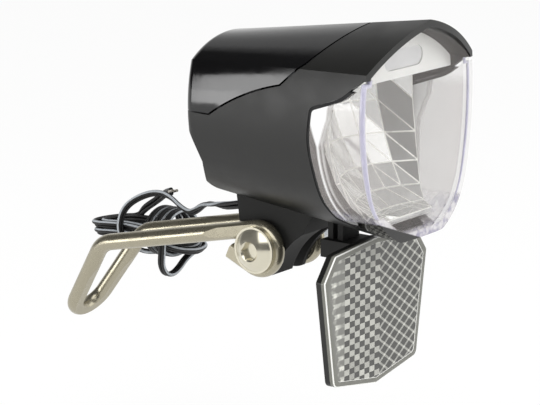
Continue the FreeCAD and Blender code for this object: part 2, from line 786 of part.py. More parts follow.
def make_led_leads():
    """Two leads from the driver board up over the heat sink and down to the light source."""
    leads = []
    run_z = shelf_top + LEAD_D
    for x in (-LEAD_X, LEAD_X):
        path = [Vector(x, LEAD_Y, board_top), Vector(x, LEAD_Y, run_z),
                Vector(x, led_lead_y(), run_z), Vector(x, led_lead_y(), BOWL_TOP_Z)]
        leads.append(tube(rounded_path(path, [0, LEAD_BEND_R, LEAD_FOLD_R, 0]), LEAD_D))
    return Part.makeCompound(leads)


def make_driver_board():
    """Circuit board that carries the electronics, with a hole for each of its screws."""
    board = block(-BOARD_W / 2, BOARD_W / 2, BOARD_Y - BOARD_L / 2, BOARD_Y + BOARD_L / 2,
                  BOARD_Z, board_top)
    for place in post_places():
        board = board.cut(rod(SCREW_D / 2 + SCREW_GAP, place, place + Z_AXIS * BOARD_T))
    return board


def make_board_screws():
    """Four slotted screws, a little shorter than the holes in their posts."""
    screws = []
    for place in post_places():
        top = place + Z_AXIS * BOARD_T
        shank = rod(SCREW_D / 2, top - Z_AXIS * SCREW_L, top)
        head = rod(SCREW_HEAD_D / 2, top, top + Z_AXIS * SCREW_HEAD_H)
        slot = block(top.x - SCREW_HEAD_D, top.x + SCREW_HEAD_D,
                     top.y - SCREW_SLOT_W / 2, top.y + SCREW_SLOT_W / 2,
                     top.z + SCREW_HEAD_H / 2, FAR)
        screws.append(shank.fuse(head).cut(slot))
    return Part.makeCompound(screws)


def capacitor(x, back, diameter, height):
    """A round can standing on the board, with its top edge rolled over."""
    foot = Vector(x, BOARD_Y + back, board_top)
    can = rod(diameter / 2, foot, foot + Z_AXIS * height)
    top = [edge for edge in can.Edges if edge.BoundBox.ZMin > board_top + height / 2]
    return can.makeFillet(CAN_EDGE_R, top)


def make_standlight_capacitor():
    """The large, low can that keeps the light on at a standstill."""
    return capacitor(STANDLIGHT_IN - BOARD_W / 2, STANDLIGHT_BACK, STANDLIGHT_D, STANDLIGHT_H)


def make_filter_capacitor():
    """The small, tall can that smooths the current."""
    return capacitor(FILTER_OUT * BOARD_W / 2, FILTER_BACK, FILTER_D, FILTER_H)


def make_choke():
    """A ring core, its winding left out."""
    foot = Vector(CHOKE_OUT * BOARD_W / 2, BOARD_Y + CHOKE_BACK, board_top)
    ring = rod(CHOKE_D / 2, foot, foot + Z_AXIS * CHOKE_H)
    return ring.cut(rod(CHOKE_BORE_D / 2, foot, foot + Z_AXIS * CHOKE_H))


def chip(x, back, width, length, height):
    """A flat component on the board, about its own middle."""
    y = BOARD_Y + back
    return block(x - width / 2, x + width / 2, y - length / 2, y + length / 2,
                 board_top, board_top + height)


def make_rectifier():
    """Turns the dynamo's alternating current into direct current."""
    return chip(-RECTIFIER_OUT * BOARD_W / 2, RECTIFIER_BACK, RECTIFIER_W, RECTIFIER_L,
                RECTIFIER_H)


def make_controller_chip():
    """Limits the current through the light source."""
    return chip(CHIP_OUT * BOARD_W / 2, CHIP_BACK, CHIP_W, CHIP_L, CHIP_H)


def make_cable_terminal():
    """Below the board, where the cable comes up to it."""
    return block(gap_x - TERMINAL_W / 2, gap_x + TERMINAL_W / 2, CABLE_UP_Y - TERMINAL_L / 2,
                 CABLE_UP_Y + TERMINAL_L / 2, BOARD_Z - TERMINAL_H, BOARD_Z)


def gland_seat_y():
    """The flat that the gland's flange sits on, cut into the sloping rear of the boss."""
    return boss_rear_y(GLAND_Z - GLAND_FLANGE_D / 2)


def gland_end_y():
    return gland_seat_y() + GLAND_FLANGE_T + GLAND_TAIL_L


def make_cable_gland():
    """Rubber sleeve in the rear of the boss, with a flange and a tapered tail."""
    seat = gland_seat_y()
    at = Vector(gap_x, 0, GLAND_Z)
    plug = rod(GLAND_BORE_D / 2, at + Y_AXIS * (CABLE_UP_Y + CABLE_TURN_R), at + Y_AXIS * seat)
    flange = rod(GLAND_FLANGE_D / 2, at + Y_AXIS * seat, at + Y_AXIS * (seat + GLAND_FLANGE_T))
    tail = Part.makeCone(GLAND_BORE_D / 2, GLAND_TIP_D / 2, GLAND_TAIL_L,
                         at + Y_AXIS * (seat + GLAND_FLANGE_T), Y_AXIS)
    bore = rod(TUBE_D / 2 + TURN_GAP, at, at + Y_AXIS * FAR)
    return plug.fuse([flange, tail]).cut(bore)


def boss_rear_y(z):
    """How far back the boss reaches at a height."""
    low_z = math.sqrt(BOSS_R ** 2 - BOSS_REAR_Y ** 2)
    share = (z - low_z) / (BOSS_TOP_Z - low_z)
    return BOSS_REAR_Y + (BOSS_REAR_TOP_Y - BOSS_REAR_Y) * share


def make_cable_inner():
    """The cable's stretch inside the lamp, from the gland's end up to the terminal."""
    corner = Vector(gap_x, CABLE_UP_Y, GLAND_Z)
    path = [Vector(gap_x, gland_end_y(), GLAND_Z), corner,
            Vector(gap_x, CABLE_UP_Y, BOARD_Z - TERMINAL_H)]
    return tube(rounded_path(path, [0, CABLE_TURN_R, 0]), TUBE_D)


def lead_route():
    """The free stretch of cable, from the gland over the far arm to the bundle."""
    return [
        Vector(gap_x, gland_end_y(), GLAND_Z),
        Vector(gap_x, gland_end_y() + 3.8, GLAND_Z),
        Vector(4.9, 23.2, 6.6),
        Vector(7.6, 30.2, 5.6),
        Vector(11.6, 37.0, 4.2),
        Vector(15.0, 43.0, 0.6),
    ]


def arch_route():
    """From the lead's end in a high arch down to the near side of the bundle."""
    return [
        Vector(16.2, 51.2, 2.6), Vector(17.4, 55.4, 4.5), Vector(17.2, 60.8, 4.9),
        Vector(15.6, 66.6, 3.1), Vector(14.2, 71.2, -0.8), Vector(13.8, 73.4, -6.0),
        Vector(14.2, 72.6, -12.2), Vector(17.4, 69.6, -16.4),
    ]


def hanging_route():
    """The loop that hangs below the bundle, from the last wrap to the first long loop."""
    return [
        Vector(14.4, 54.9, -15.9), Vector(16.4, 54.0, -20.0), Vector(20.8, 53.0, -21.4),
        Vector(26.4, 52.6, -20.0), Vector(30.4, 51.6, -16.8), Vector(30.2, 48.0, -13.6),
    ]


def end_route():
    """The last strand, which rises over the wraps to the cable's bare ends."""
    return [
        Vector(30.8, 72.4, -4.6), Vector(28.2, 67.6, -1.2), Vector(25.4, 63.6, 1.4),
        Vector(23.0, 60.4, 2.5),
    ]


def cable_path(points):
    """Straight runs with an arc at each point, as large as the two runs allow."""
    radii = [0.0]
    for i in range(1, len(points) - 1):
        before = points[i] - points[i - 1]
        after = points[i + 1] - points[i]
        turn = before.getAngle(after)
        radii.append(0.45 * min(before.Length, after.Length) / math.tan(turn / 2))
    print("arc radii", [round(r, 1) for r in radii[1:]])
    return rounded_path(points, radii + [0.0])


def make_cable_lead():
    return tube(cable_path(lead_route()), TUBE_D)


def turns_in(station):
    """How many steps in from the outermost loop a station lies: in again and out."""
    turn = station / LOOP_STATIONS
    return min(turn, LOOP_TURNS - turn)


def loop_side(station):
    """Where a station lies across the loops: the near strands have a negative x."""
    half_w = LOOP_HALF_W - LOOP_STEP * turns_in(station)
    return -half_w if station % LOOP_STATIONS < LOOP_STATIONS / 2 else half_w


def loop_level(station):
    """Upper layer first, lower layer last, with the climb in the middle half turn."""
    climb = 2 * (station / LOOP_STATIONS - LOOP_TURNS / 2) + 0.5
    climb = min(max(climb, 0), 1)
    return LAYER_STEP * (0.5 - climb * climb * (3 - 2 * climb))


def loop_point(station):
    """Eight stations to a loop: the rear tip, then shoulder, waist and shoulder, the front tip."""
    part = station % LOOP_STATIONS
    if part in (0, 4):
        x = (loop_side(station - 1) + loop_side(station + 1)) / 2
        y = LOOP_HALF_L - LOOP_STEP * turns_in(station)
    elif part in (2, 6):
        x = loop_side(station) * LOOP_WAIST
        y = 0
    else:
        tip = station - 1 if part in (1, 5) else station + 1
        x = loop_side(station)
        tip_r = abs(loop_side(tip - 1) - loop_side(tip + 1)) / 2
        y = LOOP_HALF_L - LOOP_STEP * turns_in(tip) - tip_r
    if part in (3, 4, 5):
        y = -y
    z = loop_level(station) + LOOPS_SLOPE * y - LOOPS_SAG * (y / LOOP_HALF_L) ** 2
    return Vector(LOOPS_X + x, LOOPS_Y + y, LOOPS_Z + z)


def loop_heading(station):
    """The way the cable runs at a station, level but for the climb."""
    part = station % LOOP_STATIONS
    if part in (0, 4):
        flat = X_AXIS if part == 0 else X_AXIS * -1
    else:
        flat = Y_AXIS if part < 4 else Y_AXIS * -1
    run = loop_point(station - 1) - loop_point(station + 1)
    return (flat + Z_AXIS * (run.z / math.hypot(run.x, run.y))).normalize()


def loops():
    """The long loops from the lower, outer one in to the middle and out again above."""
    last = int(LOOP_TURNS * LOOP_STATIONS)
    return [(loop_point(i), loop_heading(i)) for i in range(last, -2, -1)]


def wraps():
    """Turns round the waist of the loops, down their near side, each nearer the lamp."""
    found = []
    for i in range(1, WRAP_TURNS * 4 + 1):
        angle = math.pi / 2 * i
        point = Vector(WRAP_X - WRAP_HALF_W * math.cos(angle), WRAP_Y - WRAP_STEP * i / 4,
                       WRAP_Z - WRAP_HALF_H * math.sin(angle))
        heading = Vector(WRAP_HALF_W * math.sin(angle), -WRAP_STEP / (2 * math.pi),
                         -WRAP_HALF_H * math.cos(angle))
        found.append((point, heading.normalize()))
    return found


def bundle_stations():
    """Points and headings of the bundled cable, straight for a diameter at both ends."""
    lead = lead_route()
    start = lead[-1]
    along = (start - lead[-2]).normalize()
    known = [(start, along), (start + along * TUBE_D, along)]
    known += [(point, None) for point in arch_route()]
    known += wraps()
    known += [(point, None) for point in hanging_route()]
    known += loops()
    known += [(point, None) for point in end_route()]
    found = []
    for i, (point, heading) in enumerate(known):
        if heading is None:
            back = point - known[i - 1][0]
            if i < len(known) - 1:
                ahead = known[i + 1][0] - point
                heading = back / back.dot(back) + ahead / ahead.dot(ahead)
            else:
                heading = back
            heading.normalize()
        found.append((point, heading))
    end, along = found[-1]
    found.append((end + along * TUBE_D, along))
    return found


def arc_from(start, heading, end):
    """The arc that leaves its start along a heading, or a straight line where it would."""
    chord = end - start
    turn = heading.getAngle(chord)
    if turn < 1e-4:
        return Part.LineSegment(start, end).toShape()
    across = (heading - chord * (heading.dot(chord) / chord.dot(chord))).normalize()
    return Part.Arc(start, (start + end) / 2 + across * (chord.Length / 2 * math.tan(turn / 2)),
                    end).toShape()


def two_arcs(start, first, end, last):
    """Two arcs that leave one station along its heading and reach the next along its own."""
    run = end - start
    bend = 2 * (1 - first.dot(last))
    along = run.dot(first + last)
    if bend < 1e-9:
        reach = run.dot(run) / (2 * along)
    else:
        reach = (math.sqrt(along * along + bend * run.dot(run)) - along) / bend
    joint = (start + end + (first - last) * reach) / 2
    middle = (end - last * reach) - (start + first * reach)
    return [arc_from(start, first, joint), arc_from(joint, middle.normalize(), end)]


def print_least_gap(edges):
    """Prints the bundled cable's length and how near it comes to itself."""
    points = []
    for edge in edges:
        points += edge.discretize(max(2, int(2 * edge.Length) + 1))[:-1]
    runs = [0.0]
    for i in range(1, len(points)):
        runs.append(runs[-1] + (points[i] - points[i - 1]).Length)
    least = FAR
    for i in range(len(points)):
        for j in range(i + 1, len(points)):
            if runs[j] - runs[i] > 3 * TUBE_D:
                least = min(least, points[i].distanceToPoint(points[j]))
    print("bundled cable", round(runs[-1], 1), "mm long, least gap", round(least - TUBE_D, 2))


def make_cable_hank():
    """The bundled cable as one unbroken tube."""
    stations = bundle_stations()
    edges = []
    for i in range(len(stations) - 1):
        edges += two_arcs(*stations[i], *stations[i + 1])
    print_least_gap(edges)
    return tube(Part.Wire(edges), TUBE_D)


def make_cable_ends():
    """The two tinned ends that stand out of the cable's cut face."""
    end, along = bundle_stations()[-1]
    aside = along.cross(Z_AXIS).normalize() * (TWIN_PITCH / 2)
    return Part.makeCompound([rod(TINNED_D / 2, end + aside * side,
                                  end + aside * side + along * TINNED_L) for side in (-1, 1)])


def make_pivot_sleeve():
    """Steel tube that keeps the bolt from crushing the boss."""
    body = rod(SLEEVE_D / 2, Vector(-BOSS_W / 2, 0, 0), Vector(BOSS_W / 2, 0, 0))
    return body.cut(rod(BOLT_D / 2 + TURN_GAP, Vector(-BOSS_W, 0, 0), Vector(BOSS_W, 0, 0)))


def retro_outline(y):
    """Front view of the retroreflector: a low gable on top, tapering sides, a shallow point."""
    right = [Vector(RETRO_TOP_HALF_W, y, RETRO_TOP_Z), Vector(RETRO_HALF_W, y, RETRO_SHOULDER_Z),
             Vector(RETRO_FOOT_HALF_W, y, RETRO_FOOT_Z)]
    left = [Vector(-point.x, y, point.z) for point in reversed(right)]
    corners = [Vector(0, y, RETRO_APEX_Z)] + right + [Vector(0, y, RETRO_POINT_Z)] + left
    small = RETRO_CORNER_R * 0.5
    radii = [0, small, small, RETRO_CORNER_R, 0, RETRO_CORNER_R, small, small]
    return rounded_path(corners, radii, closed=True)


def make_retro_lens():
    return Part.Face(retro_outline(RETRO_Y)).extrude(Vector(0, RETRO_PLATE_T, 0))


def make_retro_holder():
    """Black backing plate with a stem behind it and two ribs that snap into the lamp's floor."""
    front = RETRO_Y + RETRO_PLATE_T
    plate = Part.Face(retro_outline(front)).extrude(Vector(0, RETRO_BACK_T, 0))
    stem = block(-STEM_HALF_W, STEM_HALF_W, front + RETRO_BACK_T / 2, STEM_REAR_Y,
                 STEM_TOP_Z - STEM_H, STEM_TOP_Z)
    pieces = [stem]
    for y in clip_places():
        floor_top = keel_z(y) + WALL
        pieces.append(block(-CLIP_HALF_W, CLIP_HALF_W, y - CLIP_T / 2, y + CLIP_T / 2,
                            STEM_TOP_Z - CLIP_T, floor_top + CLIP_BARB_H))
        pieces.append(block(-CLIP_HALF_W, CLIP_HALF_W, y - CLIP_T / 2 - CLIP_BARB,
                            y + CLIP_T / 2, floor_top + CLIP_BARB_LIFT, floor_top + CLIP_BARB_H))
    return plate.fuse(pieces)


def keel_z(y):
    """Height of the lamp's underside along its middle."""
    share = (y - FRONT_Y) / (REAR_Y - FRONT_Y)
    return FRONT_KEEL_Z + (REAR_KEEL_Z - FRONT_KEEL_Z) * share


def leg_direction():
    slope = math.radians(LEG_SLOPE)
    return Vector(0, math.cos(slope), -math.sin(slope))


def bend_corner():
    """Where arm and leg would meet without a bend, in the side view."""
    slope = math.radians(ARM_SLOPE)
    start = side_point(math.sin(slope), math.cos(slope)) * eye_r
    return start + side_point(math.cos(slope), -math.sin(slope)) * ARM_L


def loop_end():
    """Middle of the loop's rounded end, where the fork bolt sits."""
    return bend_corner() + leg_direction() * (LEG_L - LOOP_END_R)


def wire_half():
    """One half of the wire's path: tail, open eye, arm, bend and leg, on the far side."""
    aside = X_AXIS * arm_x
    tail = math.radians(TAIL_SLOPE)
    arm = math.radians(ARM_SLOPE)
    tail_at = side_point(math.sin(tail), -math.cos(tail)) * eye_r + aside
    tail_end = tail_at + side_point(math.cos(tail), math.sin(tail)) * TAIL_L
    eye_front = side_point(-1, 0) * eye_r + aside
    arm_at = side_point(math.sin(arm), math.cos(arm)) * eye_r + aside
    bend = bend_corner() + aside
    centre = loop_end()
    drawn_in = math.asin((arm_x - LOOP_END_R) / (LEG_L - LOOP_END_R))
    leg_at = centre + X_AXIS * (LOOP_END_R * math.cos(drawn_in))
    leg_at = leg_at + leg_direction() * (LOOP_END_R * math.sin(drawn_in))
    run = rounded_path([arm_at, bend, leg_at], [0, BEND_R, 0])
    edges = [Part.LineSegment(tail_end, tail_at).toShape(),
             Part.Arc(tail_at, eye_front, arm_at).toShape()]
    return edges + run.OrderedEdges, leg_at


def make_wire_bracket():
    edges, leg_at = wire_half()
    other = [mirrored(edge) for edge in reversed(edges)]
    tip = loop_end() + leg_direction() * LOOP_END_R
    end = Part.Arc(leg_at, tip, Vector(-leg_at.x, leg_at.y, leg_at.z)).toShape()
    body = tube(Part.Wire(edges + [end] + other), WIRE_D)
    body = body.cut(eye_press())
    return body.cut(loop_press())


def eye_press():
    """What the press takes off both faces of the two eyes, fading out along the arms."""
    half = PRESSED_T / 2
    out_at = ARM_FLAT_L + PRESS_RUN_OUT
    profile = [Vector(half, -FAR, 0), Vector(half, ARM_FLAT_L, 0), Vector(WIRE_D / 2, out_at, 0),
               Vector(WIRE_D, out_at, 0), Vector(WIRE_D, -FAR, 0)]
    slab = Part.Face(Part.makePolygon(profile + profile[:1])).extrude(Vector(0, 0, 2 * FAR))
    slab.translate(Vector(0, 0, -FAR))
    cutters = []
    for side in (-1, 1):
        for x in (-arm_x, arm_x):
            piece = slab.copy() if side > 0 else mirrored(slab)
            piece.translate(Vector(x, 0, 0))
            cutters.append(piece)
    return Part.makeCompound(cutters)


def loop_press():
    """What the press takes off both faces of the loop."""
    half = PRESSED_T / 2
    cutters = []
    for side in (-1, 1):
        profile = [Vector(0, LOOP_FLAT_FROM + PRESS_RUN_OUT, side * half),
                   Vector(0, FAR, side * half), Vector(0, FAR, side * WIRE_D),
                   Vector(0, LOOP_FLAT_FROM, side * WIRE_D),
                   Vector(0, LOOP_FLAT_FROM, side * WIRE_D / 2)]
        slab = Part.Face(Part.makePolygon(profile + profile[:1])).extrude(Vector(2 * FAR, 0, 0))
        slab.translate(Vector(-FAR, 0, 0))
        slab.rotate(PIVOT, X_AXIS, -LEG_SLOPE)
        slab.translate(bend_corner())
        cutters.append(slab)
    return Part.makeCompound(cutters)


def make_pivot_bolt():
    """Flanged dome head with a hexagon socket on the near side, shank through both eyes."""
    seat = -stack_x
    end = stack_x + WASHER_T + NUT_H + BOLT_PROUD
    shank = rod(BOLT_D / 2, Vector(seat, 0, 0), Vector(end, 0, 0))
    flange = rod(BOLT_FLANGE_D / 2, Vector(seat - BOLT_FLANGE_T, 0, 0), Vector(seat, 0, 0))
    rise = BOLT_HEAD_H - BOLT_FLANGE_T
    rim = BOLT_DOME_D / 2
    ball = (rim ** 2 + rise ** 2) / (2 * rise)
    dome = Part.makeSphere(ball, Vector(seat - BOLT_HEAD_H + ball, 0, 0))
    dome = dome.common(block(-FAR, seat - BOLT_FLANGE_T, -FAR, FAR, -FAR, FAR))
    face_x = seat - BOLT_HEAD_H
    corner = HEX_KEY / math.sqrt(3)
    hexagon = hexagon_prism(corner, face_x - 1, face_x + HEX_DEPTH)
    lead_in = Part.makeCone(corner + HEX_LEAD_IN, corner - HEX_LEAD_IN, 2 * HEX_LEAD_IN,
                            Vector(face_x, 0, 0), X_AXIS)
    head = flange.fuse(dome).cut(hexagon).cut(lead_in)
    return shank.fuse(head)


def hexagon_prism(corner_r, x0, x1):
    """A hexagon across the pivot axis, one flat uppermost."""
    points = []
    for i in range(7):
        angle = math.radians(60 * i)
        points.append(Vector(x0, corner_r * math.cos(angle), corner_r * math.sin(angle)))
    return Part.Face(Part.makePolygon(points)).extrude(Vector(x1 - x0, 0, 0))


def make_washer():
    """Plain washer between the far eye and the nut."""
    ring = rod(WASHER_D / 2, X_AXIS * stack_x, X_AXIS * (stack_x + WASHER_T))
    return ring.cut(rod(WASHER_BORE_D / 2, PIVOT, X_AXIS * FAR))


def make_lock_nut():
    """Hexagon nut with a collar that holds the nylon ring."""
    start = stack_x + WASHER_T
    ring_at = start + NUT_H - NUT_RING_H
    corner = NUT_AF / math.sqrt(3)
    body = hexagon_prism(corner, start, ring_at)
    body = body.common(Part.makeCone(corner + NUT_ROUND_OFF, NUT_FACE_D / 2, NUT_H,
                                     X_AXIS * start, X_AXIS))
    body = body.fuse(rod(NUT_COLLAR_D / 2, X_AXIS * ring_at, X_AXIS * (start + NUT_H)))
    body = body.cut(rod(BOLT_D / 2, PIVOT, X_AXIS * FAR))
    return body.cut(rod(NUT_RING_D / 2, X_AXIS * ring_at, X_AXIS * FAR))


def make_nut_ring():
    """Nylon ring that grips the thread."""
    end = stack_x + WASHER_T + NUT_H - NUT_RING_SINK
    ring = rod(NUT_RING_D / 2, X_AXIS * (end + NUT_RING_SINK - NUT_RING_H), X_AXIS * end)
    return ring.cut(rod(BOLT_D / 2, PIVOT, X_AXIS * FAR))


pieces = {
    "wire_bracket": make_wire_bracket(),
    "pivot_bolt": make_pivot_bolt(),
    "pivot_washer": make_washer(),
    "lock_nut": make_lock_nut(),
    "lock_nut_ring": make_nut_ring(),
    "housing": make_housing(),
    "top_cover": make_top_cover(),
    "cover_screw": make_cover_screw(),
    "lens": make_lens(),
    "lens_seal": make_lens_seal(),
    "reflector": make_reflector(),
    "fascia": make_fascia(),
    "light_guide": make_light_guide(),
    "heat_sink": make_heat_sink(),
    "led_board": make_led_board(),
    "led": make_led(),
    "led_leads": make_led_leads(),
    "driver_board": make_driver_board(),
    "board_screws": make_board_screws(),
    "standlight_capacitor": make_standlight_capacitor(),
    "filter_capacitor": make_filter_capacitor(),
    "choke": make_choke(),
    "rectifier": make_rectifier(),
    "controller_chip": make_controller_chip(),
    "cable_terminal": make_cable_terminal(),
    "cable_inner": make_cable_inner(),
    "cable_gland": make_cable_gland(),
    "cable_lead": make_cable_lead(),
    "cable_hank": make_cable_hank(),
    "cable_ends": make_cable_ends(),
    "pivot_sleeve": make_pivot_sleeve(),
    "retro_lens": make_retro_lens(),
    "retro_holder": make_retro_holder(),
}

origin = loop_end()
os.makedirs("parts", exist_ok=True)
for name, shape in pieces.items():
    shape.translate(origin * -1)
    shape.exportStep("parts/" + name + ".step")
    print(name, len(shape.Solids), "solids", round(shape.Volume, 1), "mm3", shape.isValid())
print("pivot at", origin * -1)
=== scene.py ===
# %% [markdown]
# # A dynamo bicycle light
#
# The lamp head, its bent wire bracket and its bundle of spare cable come in as a fixed frame of
# exact solids. This lesson dresses them: it gives each solid the finish of the real thing, swaps
# some for finer pieces, lays the soft cable, and sets up a small white studio with the camera
# where the photographer stood.

# %% Load the frame
import bpy
import bmesh
import json
import math
from mathutils import Matrix, Vector


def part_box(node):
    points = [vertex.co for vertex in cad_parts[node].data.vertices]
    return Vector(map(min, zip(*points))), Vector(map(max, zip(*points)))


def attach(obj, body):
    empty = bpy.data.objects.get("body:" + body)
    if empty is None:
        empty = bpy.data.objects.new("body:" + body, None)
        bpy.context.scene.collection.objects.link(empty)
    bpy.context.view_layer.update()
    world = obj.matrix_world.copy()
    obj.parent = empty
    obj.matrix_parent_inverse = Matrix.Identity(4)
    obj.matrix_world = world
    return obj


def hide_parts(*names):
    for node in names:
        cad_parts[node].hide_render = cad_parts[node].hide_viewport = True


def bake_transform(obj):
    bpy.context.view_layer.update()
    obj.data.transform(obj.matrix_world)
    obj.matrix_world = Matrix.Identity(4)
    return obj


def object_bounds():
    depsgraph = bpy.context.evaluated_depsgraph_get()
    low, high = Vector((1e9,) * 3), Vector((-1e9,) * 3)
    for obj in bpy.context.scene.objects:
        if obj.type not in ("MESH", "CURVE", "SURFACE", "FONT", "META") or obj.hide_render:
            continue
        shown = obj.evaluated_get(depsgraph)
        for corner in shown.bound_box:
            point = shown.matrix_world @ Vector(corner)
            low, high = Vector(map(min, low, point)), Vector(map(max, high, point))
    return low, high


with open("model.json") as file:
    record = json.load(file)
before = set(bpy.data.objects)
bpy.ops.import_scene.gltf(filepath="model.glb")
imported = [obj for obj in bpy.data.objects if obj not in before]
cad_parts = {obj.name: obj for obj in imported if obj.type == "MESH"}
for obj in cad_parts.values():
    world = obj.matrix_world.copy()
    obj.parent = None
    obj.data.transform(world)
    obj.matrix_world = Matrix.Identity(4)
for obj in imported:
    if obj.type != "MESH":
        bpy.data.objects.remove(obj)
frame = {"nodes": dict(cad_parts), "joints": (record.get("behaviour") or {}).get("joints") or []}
nodes = frame["nodes"]
cad_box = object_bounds()
print("solids loaded:", len(nodes))

# %% [markdown]
# All the drawings of the light are about its pivot bolt, in millimetres, so one helper turns such
# a point into the scene's metres. Operators act on whatever is selected, and loading leaves the
# solids selected, so a second helper clears the selection before any modelling.

# %% Places and selection
MM = 0.001
PIVOT = Vector(frame["joints"][0]["pos_m"])


def place(x, y, z):
    """A point given from the pivot bolt in millimetres, as a point of the scene."""
    return PIVOT + Vector((x, y, z)) * MM


def select_only(*objects):
    """Leaves nothing selected but these, the first of them active."""
    if bpy.context.mode != "OBJECT":
        bpy.ops.object.mode_set(mode="OBJECT")
    bpy.ops.object.select_all(action="DESELECT")
    for item in objects:
        item.select_set(True)
    if objects:
        bpy.context.view_layer.objects.active = objects[0]


print("pivot bolt at", tuple(round(v, 4) for v in PIVOT))

# %% [markdown]
# ## The camera
#
# The photograph looks at the light from its front left and a little above. Its scale hardly
# changes from the near eye of the bracket to the far one, so the lens is long and the camera is
# two thirds of a metre away. The camera's three axes are worked out from the two viewing angles.

# %% Set up the camera
AZIMUTH = math.radians(-53.0)
ELEVATION = math.radians(13.0)
DISTANCE = 667.0
SIDEWAYS = -2.9
UPWARDS = 11.45
PHOTO_W = 540
FOCAL_PIXELS = 2300.0
SENSOR_W = 36.0

back = Vector((math.sin(AZIMUTH) * math.cos(ELEVATION),
               -math.cos(AZIMUTH) * math.cos(ELEVATION), math.sin(ELEVATION)))
right = Vector((math.cos(AZIMUTH), math.sin(AZIMUTH), 0.0))
up = back.cross(right)

bpy.ops.object.camera_add()
camera = bpy.context.object
camera.name = "photo_camera"
spot = PIVOT + (back * DISTANCE + right * SIDEWAYS + up * UPWARDS) * MM
camera.matrix_world = Matrix.Translation(spot) @ Matrix((right, up, back)).transposed().to_4x4()
camera.data.sensor_width = SENSOR_W
camera.data.lens = FOCAL_PIXELS / PHOTO_W * SENSOR_W
camera.data.clip_start = 0.01
camera.data.dof.use_dof = False
bpy.context.scene.camera = camera
bpy.context.scene.view_settings.view_transform = "Standard"
print("camera lens", round(camera.data.lens, 1), "mm")

# %% [markdown]
# ## Mixing finishes
#
# Every finish here is made of shader nodes, because a pattern worked out in millimetres stays
# sharp from near by, which a painted picture would not. One function adds a node with its
# settings and links, and one turns web colours into the linear light of the renderer.

# %% Node and colour helpers
MATH = "ShaderNodeMath"
RANGE = "ShaderNodeMapRange"
MIX = "ShaderNodeMix"
SPLIT = "ShaderNodeSeparateXYZ"
NOISE = "ShaderNodeTexNoise"


def add_node(tree, kind, sockets=None, **settings):
    """Adds a node. Its sockets are named, or listed in order. A node stands for its output 0."""
    made = tree.nodes.new(kind)
    for name, value in settings.items():
        setattr(made, name, value)
    pairs = enumerate(sockets) if isinstance(sockets, list) else (sockets or {}).items()
    for name, value in pairs:
        if isinstance(value, bpy.types.Node):
            value = value.outputs[0]
        if isinstance(value, bpy.types.NodeSocket):
            tree.links.new(value, made.inputs[name])
        else:
            made.inputs[name].default_value = value
    return made


def linear(code, alpha=1.0):
    """A web colour such as #c9c3b2 as linear red, green, blue and alpha."""
    parts = [int(code[i:i + 2], 16) / 255 for i in (1, 3, 5)]
    return [p / 12.92 if p <= 0.04045 else ((p + 0.055) / 1.055) ** 2.4 for p in parts] + [alpha]


def new_finish(name, colour, roughness, **settings):
    """A material with its main shader joined to the output, and the settings given."""
    material = bpy.data.materials.new(name)
    material.use_nodes = True
    tree = material.node_tree
    tree.nodes.clear()
    values = {"Base Color": linear(colour), "Roughness": roughness}
    values.update({key.replace("_", " "): value for key, value in settings.items()})
    shader = add_node(tree, "ShaderNodeBsdfPrincipled", values)
    add_node(tree, "ShaderNodeOutputMaterial", {"Surface": shader})
    return material, tree, shader


print("the web grey #808080 is", round(linear("#808080")[0], 3), "in linear light")

# %% [markdown]
# Moulded and metal surfaces are never quite even. A fine noise on the object's own coordinates
# makes small bumps, and a coarser one makes the gloss wander a little. Its scale is one over its
# grain in metres. The real grain is finer, and is drawn as coarse as it needs to be to show.
# Another helper tells where a point lies from the pivot bolt.

# %% Surface grain
def grained(tree, shader, grain_mm, height_mm, patch_mm, rough_low, rough_high):
    """Adds a fine bump and patchy gloss to a finish, and returns the object coordinates."""
    where = add_node(tree, "ShaderNodeTexCoord").outputs["Object"]
    fine = add_node(tree, NOISE, {"Vector": where, "Scale": 1000.0 / grain_mm, "Detail": 3.0})
    bump = add_node(tree, "ShaderNodeBump",
                    {"Height": fine, "Distance": height_mm * MM, "Strength": 1.0})
    patch = add_node(tree, NOISE, {"Vector": where, "Scale": 1000.0 / patch_mm, "Detail": 2.0})
    spread = add_node(tree, RANGE, {"Value": patch, "From Min": 0.3, "From Max": 0.7,
                                    "To Min": rough_low, "To Max": rough_high})
    tree.links.new(bump.outputs["Normal"], shader.inputs["Normal"])
    tree.links.new(spread.outputs["Result"], shader.inputs["Roughness"])
    return where


def plain_finish(name, colour, roughness, grain, **settings):
    """A finish with nothing but its grain, which is listed as grained takes it."""
    material, tree, shader = new_finish(name, colour, roughness, **settings)
    grained(tree, shader, *grain)
    return material


def about_pivot(tree, where):
    """The x, y and z of object coordinates, in millimetres from the pivot bolt."""
    moved = add_node(tree, "ShaderNodeVectorMath", [where, tuple(PIVOT)], operation="SUBTRACT")
    scaled = add_node(tree, "ShaderNodeVectorMath", {0: moved, "Scale": 1 / MM}, operation="SCALE")
    return add_node(tree, SPLIT, {"Vector": scaled}).outputs[:]


print("a grain of 0.5 mm has a noise scale of", 1000.0 / 0.5)

# %% [markdown]
# ## Plastics
#
# The housing is black ABS from a lightly etched mould, so it is satin. The pivot boss below it is
# etched more deeply, so it is duller. On the visor's underside the reflection is turned down, a
# painted shade, so it stays dark above the lens. These could be three materials on three sets of
# faces, but masks worked out from the place and the normal need no cuts in the mesh. The
# retroreflector's backing is moulded alike.

# %% The housing's plastic
HOUSING_SPECULAR = 0.4
BOSS_HALF_W = 8.0
BOSS_TOP = 16.0
BOSS_ROUGHNESS = 0.72
VISOR_FROM = 46.0
VISOR_SHADE_SPECULAR = 0.06
FACES_DOWN = -0.05

